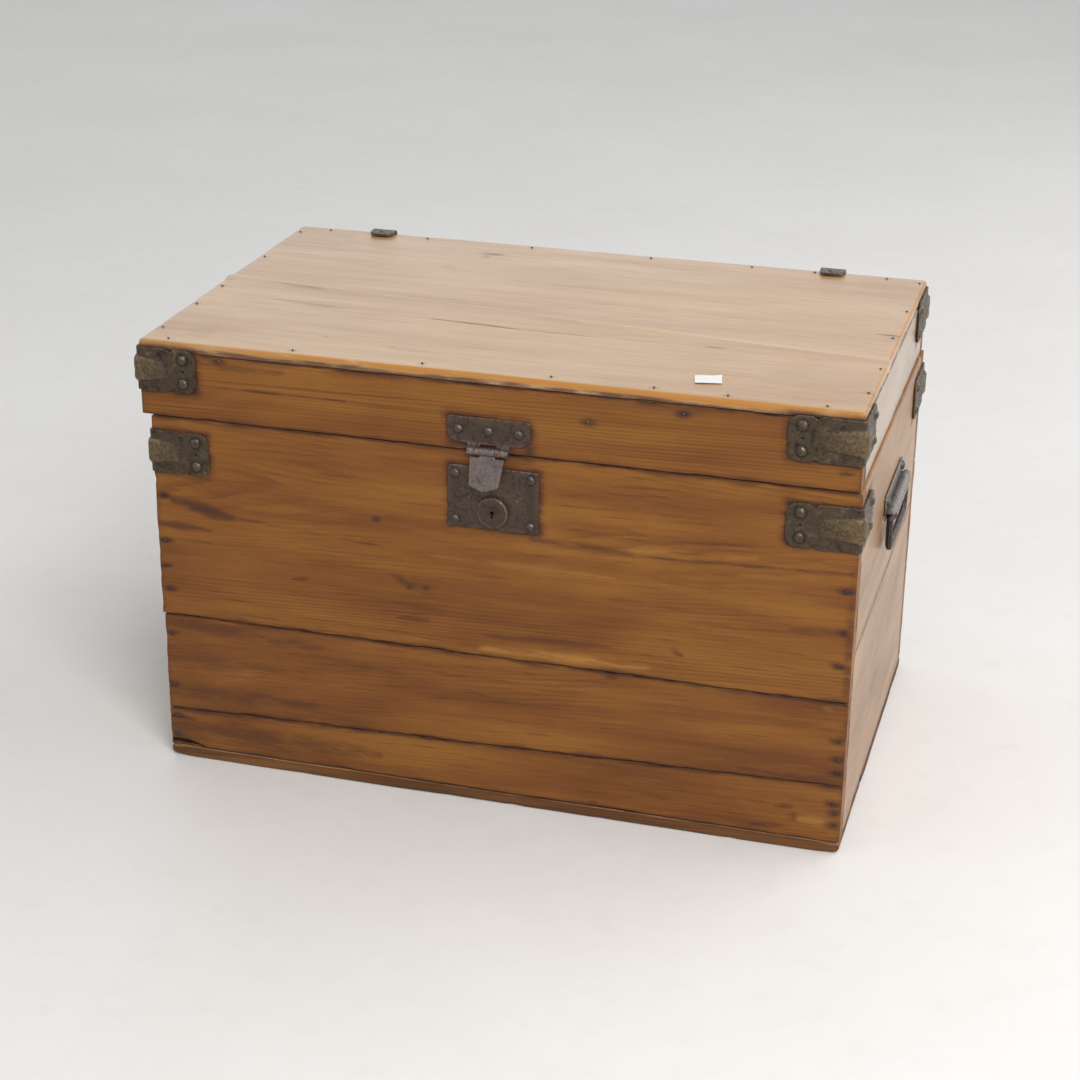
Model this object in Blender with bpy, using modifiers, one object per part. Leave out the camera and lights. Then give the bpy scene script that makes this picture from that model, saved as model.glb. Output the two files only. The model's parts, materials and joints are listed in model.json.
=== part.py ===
"""Tack box: an antique pine trunk with stamped iron corners, a hinged hasp over a box lock,
two strap hinges and a drop handle at each end.

Units are metres, +Z is up and the front faces -Y. The origin is on the floor, under the middle
of the case. Hardware is drawn in a face frame: x to the right and y up as one looks at the face,
z out of the wood.
"""

import math

import bmesh
import bpy
from mathutils import Matrix, Vector

# Fits
FIT = 0.0003            # gap between two pieces that touch
PIN_PLAY = 0.0003       # radial play of a pin in its knuckles
KNUCKLE_GAP = 0.0003    # gap between neighbouring knuckles

# Case boards
BODY_LENGTH = 0.700
BODY_DEPTH = 0.435
RIM_HEIGHT = 0.375      # top edge of the case walls
WALL = 0.018
BOTTOM = 0.012
BOTTOM_BOARDS = 3
ARRIS = 0.002           # worn edge of a board
FRONT_SEAM_UPPER = 0.162
FRONT_SEAM_LEFT = 0.055     # lower front seam at its left end, for the boards taper
FRONT_SEAM_RIGHT = 0.074
MIDDLE_SETBACK = 0.0016     # the middle front board stops short at the left
BACK_SEAM_UPPER = 0.250
BACK_SEAM_LOWER = 0.125
END_SEAM = 0.205

# Lid boards
LID_RAIL_HEIGHT = 0.0667
LID_WALL = 0.018
LID_TOP = 0.011
LID_OVERHANG = 0.0095   # the lid stands proud of the case at the left end
LID_SETBACK = 0.0024    # and stops short of it at the right end
TOP_SEAM_LEFT = 0.222   # joint of the two top boards, measured from the front
TOP_SEAM_RIGHT = 0.150
TOP_ROUND = 0.0045      # rounding of the lid's upper edges
TOP_SEAM_ARRIS = 0.0006

# Stamped corner irons
IRON_LONG = 0.069
IRON_SHORT = 0.060
IRON_HEIGHT = 0.043
IRON_SHEET = 0.0012
IRON_HEAD = 0.030       # length of the lobed head
IRON_HEAD_ROUND = 0.011
IRON_WAIST_INSET = 0.026
IRON_WAIST = 0.0026     # depth of the notch that parts head and band
IRON_BULGE = 0.0027     # lift of the pressed hood at the corner
IRON_HOOD = 0.0165      # half height of the hood's foot at the corner
IRON_CREST = 0.0100     # half height of the hood's crest at the corner
IRON_NAIL_INSET = 0.0130
IRON_NAIL_SPACING = 0.0122
IRON_HOLE = 0.0017      # spare hole between the two nails
LID_IRON_DROP = 0.030   # lid irons' middle under the lid's upper face
CASE_IRON_DROP = 0.036  # case irons' middle under the rim

# Dome-headed nails
DOME_RADIUS = 0.0048
DOME_HEIGHT = 0.0031
DOME_SUNK = 0.0006      # part of a fused dome that lies in its sheet
NAIL_SHANK = 0.0013
NAIL_LENGTH = 0.014

# Hasp
HASP_X = -0.0035
HASP_RISE = 0.002       # barrel's axis over the rim
HASP_BARREL = 0.004
HASP_PIN = 0.0015
HASP_SHEET = 0.0018
HASP_HALF_WIDTH = 0.041
HASP_TOP = 0.0325       # upper edge of the plate over the barrel's axis
HASP_EAR = 0.0080       # lower edge of the plate's ears over the axis
HASP_TAB = 0.020        # half width of the tab that carries the knuckles
HASP_MIDDLE = 0.0076    # half width of the tongue's own knuckle
HASP_CORNER = 0.004         # rounding of the plate's upper corners
HASP_EAR_ROUND = 0.010
HASP_TAB_ROUND = 0.003
HASP_NAIL_SPACING = 0.0295
HASP_NAIL_RISE = 0.0200
TONGUE_SHEET = 0.0022
TONGUE_HALF_WIDTH = 0.0170
TONGUE_SHOULDER = 0.0056    # top edge of the blade under the axis
TONGUE_CORNER = 0.0328
TONGUE_CORNER_HALF = 0.0148
TONGUE_TIP = 0.0382
TONGUE_BACK = 0.0014        # back of the blade behind the axis
TONGUE_SHOULDER_ROUND = 0.001
TONGUE_CORNER_ROUND = 0.003
TONGUE_TIP_ROUND = 0.006
TONGUE_RIVET_RADIUS = 0.0026
TONGUE_RIVET_HEIGHT = 0.0012
TONGUE_REST_TILT = math.radians(25)
STAPLE_DROP = 0.0292        # staple's middle under the axis
STAPLE_HEIGHT = 0.0080
STAPLE_WIDTH = 0.0036
STAPLE_REACH = 0.0080       # tip of the staple behind the axis
STAPLE_BAR = 0.0012
STAPLE_ROUND = 0.0020

# Lock
LOCK_X = 0.001
LOCK_LENGTH = 0.090
LOCK_HEIGHT = 0.063
LOCK_DROP = 0.0460          # middle of the plate under the rim
LOCK_SHEET = 0.0022
LOCK_CORNER = 0.002
LOCK_NAIL_EDGE = 0.0078     # nails from the plate's edges
LOCK_RIVET_SPACING = 0.0235
LOCK_RIVET_RADIUS = 0.0022
LOCK_RIVET_HEIGHT = 0.0012
BOSS_RADIUS = 0.016
BOSS_HEIGHT = 0.0045
BOSS_DROP = 0.0127          # middle of the boss under the plate's middle
KEY_PIPE = 0.0020           # round part of the keyhole
KEY_BIT = 0.0009            # half width of its slot
KEY_REACH = 0.0056
CASE_LENGTH = 0.064         # the lock's case, let into the board
CASE_HEIGHT = 0.048
CASE_RISE = 0.0048          # middle of the case over the plate's middle
CASE_DEPTH = 0.0117
CASE_SHEET = 0.0012
BOLT_SHEET = 0.0020
BOLT_HEIGHT = 0.0046
BOLT_LENGTH = 0.0290
BOLT_THROW = 0.0060
BOLT_PAST = 0.0009          # nose of the shot bolt past the staple
BOLT_TAIL_START = 0.0080
BOLT_TAIL_END = 0.0200
BOLT_TAIL_LENGTH = 0.0230
BOLT_TALON_WIDTH = 0.0050
BOLT_TALON_DEPTH = 0.0045
BOLT_SHELF = 0.0020
BOLT_NOSE_ROUND = 0.001
DRILL_PIN = 0.0012

# Strap hinges
HINGE_INSET = 0.1000        # each hinge's middle from that end of the lid
HINGE_WIDTH = 0.026
HINGE_SHEET = 0.0025
HINGE_BARREL = 0.0045
HINGE_PIN = 0.0020
HINGE_MIDDLE = 0.0050       # half width of the lid leaf's knuckle
HINGE_DOWN = 0.070          # body leaf below the axis
HINGE_OVER = 0.020          # lid leaf over the lid's top
HINGE_TIP = 0.008           # rounding of the leaves' ends
HINGE_BEND = 0.0020
SCREW_RADIUS = 0.0042
SCREW_HEIGHT = 0.0016

# Drop handles
HANDLE_Y = 0.012
HANDLE_DROP = 0.089         # hood's axis under the rim
HANDLE_LENGTH = 0.122
HANDLE_RISE = 0.021         # flange above the hood's axis
HANDLE_SHEET = 0.0016
HANDLE_CORNER = 0.004
HANDLE_HOOD = 0.0060        # radius of the rolled hood
HANDLE_HOOD_INSET = 0.0002  # its ends inside the flange's ends
HANDLE_MOUTH = 0.010        # open part at each end of the hood
HANDLE_NAIL_INSET = 0.009   # nails from the flange's ends
HANDLE_NAIL_RISE = 0.0140
BAIL_ROD = 0.0035
BAIL_PLAY = 0.0004
BAIL_MOUTH = 0.0005         # room round an arm where it leaves the hood
BAIL_INSET = 0.004          # arms' middle lines from the flange's ends
BAIL_DROP = 0.036

# Places worked out from the sizes above
FRONT = -BODY_DEPTH / 2
BACK = BODY_DEPTH / 2
LEFT = -BODY_LENGTH / 2
RIGHT = BODY_LENGTH / 2
LID_LEFT = LEFT - LID_OVERHANG
LID_RIGHT = RIGHT - LID_SETBACK
LID_BASE = RIM_HEIGHT + FIT
RAIL_TOP = LID_BASE + LID_RAIL_HEIGHT
LID_FACE = RAIL_TOP + FIT + LID_TOP
HASP_STANDOFF = FIT + HASP_BARREL
HASP_Z = RIM_HEIGHT + HASP_RISE
LOCK_Z = RIM_HEIGHT - LOCK_DROP
STAPLE_X = HASP_X - LOCK_X      # staple and bolt, from the lock's middle
STAPLE_Z = HASP_Z - STAPLE_DROP - LOCK_Z
HINGE_STANDOFF = FIT + HINGE_BARREL
HINGE_Z = RIM_HEIGHT + FIT / 2
HANDLE_STANDOFF = FIT + HANDLE_HOOD

# Finishes: colour, roughness and metallic value
PINE = ((0.228, 0.096, 0.030), 0.50, 0.0)
PINE_TOP = ((0.330, 0.165, 0.062), 0.38, 0.0)
PINE_INNER = ((0.270, 0.140, 0.060), 0.65, 0.0)
DARK_IRON = ((0.075, 0.058, 0.046), 0.55, 0.85)
CORNER_IRON = ((0.095, 0.076, 0.050), 0.58, 0.80)
WORN_STEEL = ((0.165, 0.130, 0.112), 0.48, 0.85)

SMOOTH_ANGLE = math.radians(35)
WELD = 0.000001


def clear_scene():
    for obj in list(bpy.data.objects):
        bpy.data.objects.remove(obj, do_unlink=True)


def collection(name):
    made = bpy.data.collections.new(name)
    bpy.context.scene.collection.children.link(made)
    return made


clear_scene()
PARTS = collection("tack_box")
CUTTERS = collection("cutters")
CUTTERS.hide_render = True


# Small tools

def facing(turn):
    """Turns a face frame so that it looks out of the front (0), right, back or left side."""
    return Matrix.Rotation(turn, 4, "Z") @ Matrix.Rotation(math.pi / 2, 4, "X")


LOOKS_FRONT = facing(0)
LOOKS_RIGHT = facing(math.pi / 2)
LOOKS_BACK = facing(math.pi)
LOOKS_LEFT = facing(-math.pi / 2)
ALONG_X = Matrix.Rotation(math.pi / 2, 4, "Y")


def at(x, y, z):
    return Matrix.Translation((x, y, z))


def part(name, mesh, place, finish, parent=None):
    """A named piece of the box with its own finish."""
    obj = bpy.data.objects.new(name, mesh)
    PARTS.objects.link(obj)
    if parent:
        obj.parent = parent
        obj.matrix_parent_inverse = Matrix.Translation(parent.location).inverted()
    obj.matrix_basis = place
    colour, roughness, metallic = finish
    material = bpy.data.materials.new(name)
    material.use_nodes = True
    shader = material.node_tree.nodes["Principled BSDF"]
    shader.inputs["Base Color"].default_value = (*colour, 1.0)
    shader.inputs["Roughness"].default_value = roughness
    shader.inputs["Metallic"].default_value = metallic
    mesh.materials.append(material)
    mesh.shade_smooth()
    mesh.set_sharp_from_angle(angle=SMOOTH_ANGLE)
    return obj


def helper(name, mesh, place):
    """A cutter, or a piece to be joined to another."""
    obj = bpy.data.objects.new(name, mesh)
    CUTTERS.objects.link(obj)
    obj.matrix_basis = place
    obj.hide_render = True
    obj.display_type = "WIRE"
    return obj


def boolean(obj, other, operation):
    modifier = obj.modifiers.new(other.name, "BOOLEAN")
    modifier.operation = operation
    modifier.object = other


def join(obj, name, mesh, place):
    boolean(obj, helper(name, mesh, place), "UNION")


def cut(obj, name, mesh, place):
    boolean(obj, helper(name, mesh, place), "DIFFERENCE")


def baked(obj):
    """The object's mesh with its modifiers applied and its caps welded."""
    graph = bpy.context.evaluated_depsgraph_get()
    mesh = bpy.data.meshes.new_from_object(obj.evaluated_get(graph))
    bm = bmesh.new()
    bm.from_mesh(mesh)
    bmesh.ops.remove_doubles(bm, verts=bm.verts, dist=WELD)
    bmesh.ops.recalc_face_normals(bm, faces=bm.faces)
    bm.to_mesh(mesh)
    bm.free()
    return mesh


def box_mesh(low, high):
    low = Vector(low)
    size = Vector(high) - low
    bm = bmesh.new()
    bmesh.ops.create_cube(bm, size=1.0)
    bmesh.ops.transform(bm, verts=bm.verts, matrix=Matrix.Diagonal((*size, 1.0)))
    bmesh.ops.translate(bm, verts=bm.verts, vec=low + size / 2)
    mesh = bpy.data.meshes.new("box")
    bm.to_mesh(mesh)
    bm.free()
    return mesh


def round_bar(radius, start, end, sides):
    """A cylinder about x, from start to end, with a flat of its polygon towards the wood."""
    bm = bmesh.new()
    bmesh.ops.create_cone(
        bm, cap_ends=True, segments=sides, radius1=radius, radius2=radius, depth=end - start
    )
    bmesh.ops.rotate(bm, verts=bm.verts, matrix=Matrix.Rotation(math.pi / sides, 3, "Z"))
    bmesh.ops.transform(bm, verts=bm.verts, matrix=at((start + end) / 2, 0, 0) @ ALONG_X)
    mesh = bpy.data.meshes.new("round_bar")
    bm.to_mesh(mesh)
    bm.free()
    return mesh


def drill_mesh(radius, depth, above, sides=8):
    """A cylinder about z, from above the face down to the depth."""
    bm = bmesh.new()
    bmesh.ops.create_cone(
        bm, cap_ends=True, segments=sides, radius1=radius, radius2=radius, depth=depth + above
    )
    bmesh.ops.translate(bm, verts=bm.verts, vec=(0, 0, (above - depth) / 2))
    mesh = bpy.data.meshes.new("drill")
    bm.to_mesh(mesh)
    bm.free()
    return mesh


def turned(profile, steps):
    """A solid turned about z. Its profile runs down the outer side, from axis to axis."""
    mesh = bpy.data.meshes.new("profile")
    edges = [(i, i + 1) for i in range(len(profile) - 1)]
    mesh.from_pydata([(radius, 0, height) for radius, height in profile], edges, [])
    obj = helper("profile", mesh, Matrix.Identity(4))
    screw = obj.modifiers.new("Screw", "SCREW")
    screw.steps = screw.render_steps = steps
    screw.use_merge_vertices = True
    screw.merge_threshold = 0.00001
    solid = baked(obj)
    bpy.data.objects.remove(obj)
    return solid


def dome_profile(radius, height, foot, rings=3):
    """A low dome on a short foot that reaches below z = 0."""
    angles = [math.pi / 2 * i / rings for i in range(rings + 1)]
    crown = [(radius * math.sin(a), height * math.cos(a)) for a in angles]
    return crown + [(radius, -foot), (0, -foot)]


def rounded(corners, steps=4):
    """The outline through the corners (x, y, radius), each one turned into an arc."""
    outline = []
    for i, (x, y, radius) in enumerate(corners):
        here = Vector((x, y))
        if radius == 0:
            outline.append(here)
            continue
        before = (Vector(corners[i - 1][:2]) - here).normalized()
        after = (Vector(corners[(i + 1) % len(corners)][:2]) - here).normalized()
        half = before.angle(after) / 2
        centre = here + (before + after).normalized() * radius / math.sin(half)
        start = here + before * radius / math.tan(half) - centre
        end = here + after * radius / math.tan(half) - centre
        sweep = start.angle_signed(end)
        for step in range(steps + 1):
            turn = Matrix.Rotation(-sweep * step / steps, 2)
            outline.append(centre + turn @ start)
    return outline


def plate_mesh(outline, low, high):
    """A flat plate of this outline between two heights of z."""
    curve = bpy.data.curves.new("outline", "CURVE")
    curve.dimensions = "2D"
    curve.fill_mode = "BOTH"
    curve.extrude = (high - low) / 2
    spline = curve.splines.new("POLY")
    spline.points.add(len(outline) - 1)
    for point, (x, y) in zip(spline.points, outline):
        point.co = (x, y, 0, 1)
    spline.use_cyclic_u = True
    guide = bpy.data.objects.new("outline", curve)
    CUTTERS.objects.link(guide)
    mesh = baked(guide)
    bpy.data.objects.remove(guide)
    bpy.data.curves.remove(curve)
    bm = bmesh.new()
    bm.from_mesh(mesh)
    bmesh.ops.dissolve_limit(bm, angle_limit=0.01, verts=bm.verts, edges=bm.edges)
    bmesh.ops.translate(bm, verts=bm.verts, vec=(0, 0, (low + high) / 2))
    bm.to_mesh(mesh)
    bm.free()
    return mesh


def ease_edges(obj, width, segments=1):
    bevel = obj.modifiers.new("Bevel", "BEVEL")
    bevel.width = width
    bevel.segments = segments
    bevel.limit_method = "ANGLE"
    bevel.angle_limit = math.radians(40)


# Boards

def board(name, low, high, finish=PINE, rounds=None, reshape=None, parent=None):
    """A board between two corners. rounds gives an edge's radius by the side that it is on, and
    reshape moves a corner, which it also gets as signs.
    """
    rounds = rounds or {}
    low, high = Vector(low), Vector(high)
    centre, half = (low + high) / 2, (high - low) / 2
    widest = max([ARRIS, *rounds.values()])
    bm = bmesh.new()
    bmesh.ops.create_cube(bm, size=2.0)
    weights = bm.edges.layers.float.new("bevel_weight_edge")
    for edge in bm.edges:
        middle = (edge.verts[0].co + edge.verts[1].co) / 2
        side = tuple(round(value) for value in middle)
        edge[weights] = rounds.get(side, ARRIS) / widest
    for vert in bm.verts:
        point = centre + half * vert.co
        vert.co = (reshape(point, vert.co) if reshape else point) - centre
    mesh = bpy.data.meshes.new(name)
    bm.to_mesh(mesh)
    bm.free()
    obj = part(name, mesh, Matrix.Translation(centre), finish, parent)
    bevel = obj.modifiers.new("Bevel", "BEVEL")
    bevel.width = widest
    bevel.segments = 2
    bevel.limit_method = "WEIGHT"
    return obj


def along(start, end, x, left, right):
    """A value that runs from start at the left to end at the right."""
    return start + (end - start) * (x - left) / (right - left)


def front_boards():
    """Three boards, the lower two parted by a seam that slants because they taper."""
    inner = FRONT + WALL

    def lower_seam(x):
        return along(FRONT_SEAM_LEFT, FRONT_SEAM_RIGHT, x, LEFT, RIGHT)

    def over_seam(point, signs):
        if signs.z < 0:
            point.z = lower_seam(point.x) + FIT / 2
        return point

    def under_seam(point, signs):
        if signs.z > 0:
            point.z = lower_seam(point.x) - FIT / 2
        return point

    top = board(
        "front_board_top", (LEFT, FRONT, FRONT_SEAM_UPPER + FIT / 2), (RIGHT, inner, RIM_HEIGHT)
    )
    board(
        "front_board_middle",
        (LEFT + MIDDLE_SETBACK, FRONT, FRONT_SEAM_LEFT),
        (RIGHT, inner, FRONT_SEAM_UPPER - FIT / 2),
        reshape=over_seam,
    )
    board(
        "front_board_bottom",
        (LEFT, FRONT, BOTTOM + FIT),
        (RIGHT, inner, FRONT_SEAM_LEFT),
        reshape=under_seam,
    )
    return top


def stacked_boards(names, low, high, seams):
    """Boards one over the other between two corners, parted at the seams."""
    edges = [low[2], *seams, high[2]]
    boards = []
    for i, name in enumerate(names):
        bottom = edges[i] + (FIT / 2 if i > 0 else 0)
        top = edges[i + 1] - (FIT / 2 if i + 1 < len(names) else 0)
        boards.append(board(name, (low[0], low[1], bottom), (high[0], high[1], top), PINE))
    return boards


def case_boards():
    """Front and back run the full length, the ends stand between them on the bottom boards."""
    front_top = front_boards()
    floor = BOTTOM + FIT
    stacked_boards(
        ["back_board_bottom", "back_board_middle", "back_board_top"],
        (LEFT, BACK - WALL, floor),
        (RIGHT, BACK, RIM_HEIGHT),
        [BACK_SEAM_LOWER, BACK_SEAM_UPPER],
    )
    ends = {}
    for side, outer, inner in (("left", LEFT, LEFT + WALL), ("right", RIGHT - WALL, RIGHT)):
        ends[side] = stacked_boards(
            [f"{side}_end_bottom", f"{side}_end_top"],
            (outer, FRONT + WALL + FIT, floor),
            (inner, BACK - WALL - FIT, RIM_HEIGHT),
            [END_SEAM],
        )[1]
    width = BODY_DEPTH / BOTTOM_BOARDS
    for i in range(BOTTOM_BOARDS):
        near = FRONT + i * width + (FIT / 2 if i > 0 else 0)
        far = FRONT + (i + 1) * width - (FIT / 2 if i + 1 < BOTTOM_BOARDS else 0)
        board(f"bottom_board_{i + 1}", (LEFT, near, 0), (RIGHT, far, BOTTOM), PINE_INNER)
    return front_top, ends


def lid_boards(axis):
    """A frame of four rails under a top of two tapered boards."""
    front_rail = board(
        "lid_front_rail",
        (LID_LEFT, FRONT, LID_BASE),
        (LID_RIGHT, FRONT + LID_WALL, RAIL_TOP),
        parent=axis,
    )
    board(
        "lid_back_rail",
        (LID_LEFT, BACK - LID_WALL, LID_BASE),
        (LID_RIGHT, BACK, RAIL_TOP),
        parent=axis,
    )
    near, far = FRONT + LID_WALL + FIT, BACK - LID_WALL - FIT
    ends = (("left", LID_LEFT, LID_LEFT + LID_WALL), ("right", LID_RIGHT - LID_WALL, LID_RIGHT))
    for side, outer, inner in ends:
        board(f"lid_{side}_rail", (outer, near, LID_BASE), (inner, far, RAIL_TOP), parent=axis)

    def seam(x):
        return FRONT + along(TOP_SEAM_LEFT, TOP_SEAM_RIGHT, x, LID_LEFT, LID_RIGHT)

    def front_of_seam(point, signs):
        if signs.y > 0:
            point.y = seam(point.x) - FIT / 2
        return point

    def behind_seam(point, signs):
        if signs.y < 0:
            point.y = seam(point.x) + FIT / 2
        return point

    outer_rounds = {(-1, 0, 1): TOP_ROUND, (1, 0, 1): TOP_ROUND}
    front_rounds = {**outer_rounds, (0, -1, 1): TOP_ROUND, (0, 1, 1): TOP_SEAM_ARRIS}
    back_rounds = {**outer_rounds, (0, 1, 1): TOP_ROUND, (0, -1, 1): TOP_SEAM_ARRIS}
    under, over = RAIL_TOP + FIT, LID_FACE
    middle = FRONT + TOP_SEAM_LEFT
    board(
        "lid_top_front", (LID_LEFT, FRONT, under), (LID_RIGHT, middle, over), PINE_TOP,
        front_rounds, front_of_seam, axis,
    )
    board(
        "lid_top_back", (LID_LEFT, middle, under), (LID_RIGHT, BACK, over), PINE_TOP,
        back_rounds, behind_seam, axis,
    )
    return front_rail


# Nails

def nail(name, place, targets, parent=None):
    """A dome-headed nail on a face, with its hole in the sheet and the board under it."""
    profile = dome_profile(DOME_RADIUS, DOME_HEIGHT, 0)[:-1]
    shank = [(NAIL_SHANK, 0), (NAIL_SHANK, -NAIL_LENGTH), (0, -NAIL_LENGTH - NAIL_SHANK)]
    seat = place @ at(0, 0, FIT)
    part(name, turned(profile + shank, 10), seat, WORN_STEEL, parent)
    depth = NAIL_LENGTH + NAIL_SHANK + FIT
    hole = drill_mesh(NAIL_SHANK + FIT, depth, DOME_HEIGHT)
    for target in targets:
        cut(target, f"{name}_hole", hole, place)


# Corner irons

def iron_half_height(inset):
    """Half height of a leaf at this distance from its end: band, notch and round-ended head."""
    half = IRON_HEIGHT / 2
    if inset < IRON_HEAD_ROUND:
        drop = IRON_HEAD_ROUND - inset
        return half - IRON_HEAD_ROUND + math.sqrt(IRON_HEAD_ROUND**2 - drop**2)
    notch = 1 - abs(inset - IRON_WAIST_INSET) / (IRON_HEAD - IRON_WAIST_INSET)
    return half - IRON_WAIST * max(0.0, notch)


def iron_leaf_stations(length):
    """(distance from the corner, half height, hood fade) along a leaf, from corner to end."""
    band = length - IRON_HEAD
    insets = [length - ARRIS, length - 0.45 * band, length - 0.85 * band, IRON_HEAD]
    insets += [IRON_WAIST_INSET, 2 * IRON_WAIST_INSET - IRON_HEAD, IRON_HEAD_ROUND]
    insets += [IRON_HEAD_ROUND * (1 - math.sin(math.pi / 4)), 0.0]
    fades = [1.0, 0.62, 0.36] + [0.0] * 6
    return [(length - i, iron_half_height(i), fade) for i, fade in zip(insets, fades)]


def iron_columns():
    """Every upright line of the iron's inner face: place, outward way, half height and fade."""
    columns = []
    for u, half, fade in reversed(iron_leaf_stations(IRON_LONG)):
        columns.append((Vector((-u, -FIT, 0)), Vector((0, -1, 0)), half, fade))
    corner = Vector((math.sqrt(0.5), -math.sqrt(0.5), 0))
    bend = Vector((-ARRIS, ARRIS, 0)) + corner * (ARRIS + FIT)
    columns.append((bend, corner, IRON_HEIGHT / 2, 1.0))
    for u, half, fade in iron_leaf_stations(IRON_SHORT):
        columns.append((Vector((FIT, u, 0)), Vector((1, 0, 0)), half, fade))
    return columns


def iron_sheet():
    """The pressed sheet: a grid laid round the corner, its middle rows lifted into a hood."""
    columns = iron_columns()
    bm = bmesh.new()
    rows = 6
    grid = []
    for place, outward, half, fade in columns:
        shrink = 0.55 + 0.45 * fade
        foot = min(IRON_HOOD * shrink, 0.8 * half)
        crest = min(IRON_CREST * shrink, 0.5 * half)
        lift = outward * IRON_BULGE * fade
        heights = (-half, -foot, -crest, crest, foot, half)
        column = []
        for row, height in enumerate(heights):
            raised = lift if row in (2, 3) else Vector()
            column.append(bm.verts.new(place + raised + Vector((0, 0, height))))
        grid.append(column)
    for near, far in zip(grid, grid[1:]):
        for row in range(rows - 1):
            bm.faces.new((near[row], far[row], far[row + 1], near[row + 1]))
    mesh = bpy.data.meshes.new("iron_sheet")
    bm.to_mesh(mesh)
    bm.free()
    return mesh


def iron_mesh():
    """One corner iron, long leaf along -x and short leaf along +y, with its four nails' domes."""
    obj = helper("corner_iron", iron_sheet(), Matrix.Identity(4))
    solidify = obj.modifiers.new("Solidify", "SOLIDIFY")
    solidify.thickness = IRON_SHEET
    solidify.offset = 1.0
    solidify.use_even_offset = True
    dome = turned(dome_profile(DOME_RADIUS, DOME_HEIGHT, DOME_SUNK, 2), 8)
    hole = drill_mesh(IRON_HOLE, 2 * IRON_SHEET, IRON_SHEET, 6)
    surface = FIT + IRON_SHEET
    leaves = (
        ("long", at(IRON_NAIL_INSET - IRON_LONG, -surface, 0) @ LOOKS_FRONT),
        ("short", at(surface, IRON_SHORT - IRON_NAIL_INSET, 0) @ LOOKS_RIGHT),
    )
    for leaf, place in leaves:
        for row in (-1, 1):
            spot = place @ at(0, row * IRON_NAIL_SPACING, 0)
            join(obj, f"{leaf}_dome", dome, spot)
        cut(obj, f"{leaf}_hole", hole, place)
    mesh = baked(obj)
    bpy.data.objects.remove(obj)
    return mesh


def corner_irons(axis):
    """The same iron at all eight corners, turned a quarter round from one to the next."""
    mesh = iron_mesh()
    levels = (
        ("lid", LID_LEFT, LID_RIGHT, LID_FACE - LID_IRON_DROP, axis),
        ("case", LEFT, RIGHT, RIM_HEIGHT - CASE_IRON_DROP, None),
    )
    for level, left, right, height, parent in levels:
        corners = (
            ("front_right", right, FRONT),
            ("back_right", right, BACK),
            ("back_left", left, BACK),
            ("front_left", left, FRONT),
        )
        for turns, (corner, x, y) in enumerate(corners):
            place = at(x, y, height) @ Matrix.Rotation(turns * math.pi / 2, 4, "Z")
            part(f"{level}_iron_{corner}", mesh.copy(), place, CORNER_IRON, parent)


# Hasp

def hasp(axis, front_rail):
    """Plate on the lid, pin, and the tongue that swings on it with its staple."""
    hub = at(HASP_X, FRONT - HASP_STANDOFF, HASP_Z) @ LOOKS_FRONT
    back = -HASP_BARREL
    split = HASP_MIDDLE + KNUCKLE_GAP
    window = HASP_BARREL + TONGUE_SHEET
    ear = HASP_HALF_WIDTH
    tab_top = HASP_EAR - HASP_TAB_ROUND / 2
    outline = rounded([
        (ear, HASP_TOP, HASP_CORNER),
        (-ear, HASP_TOP, HASP_CORNER),
        (-ear, HASP_EAR, HASP_EAR_ROUND),
        (-HASP_TAB, tab_top, HASP_TAB_ROUND),
        (-HASP_TAB, 0, 0),
        (-split, 0, 0),
        (-split, window, 0),
        (split, window, 0),
        (split, 0, 0),
        (HASP_TAB, 0, 0),
        (HASP_TAB, tab_top, HASP_TAB_ROUND),
        (ear, HASP_EAR, HASP_EAR_ROUND),
    ])
    plate = part("hasp_plate", plate_mesh(outline, back, back + HASP_SHEET), hub, DARK_IRON, axis)
    ease_edges(plate, HASP_SHEET / 4)
    for side, start, end in (("left", -HASP_TAB, -split), ("right", split, HASP_TAB)):
        join(plate, f"hasp_{side}_knuckle", round_bar(HASP_BARREL, start, end, 16), hub)
    bore = round_bar(HASP_PIN + PIN_PLAY, -HASP_TAB - FIT, HASP_TAB + FIT, 12)
    cut(plate, "hasp_bore", bore, hub)
    part("hasp_pin", round_bar(HASP_PIN, -HASP_TAB, HASP_TAB, 10), hub, WORN_STEEL, axis)
    for i, x in enumerate((-HASP_NAIL_SPACING, 0, HASP_NAIL_SPACING)):
        place = hub @ at(x, HASP_NAIL_RISE, back + HASP_SHEET)
        nail(f"hasp_nail_{i + 1}", place, [plate, front_rail], axis)
    tongue(hub, bore)


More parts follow.
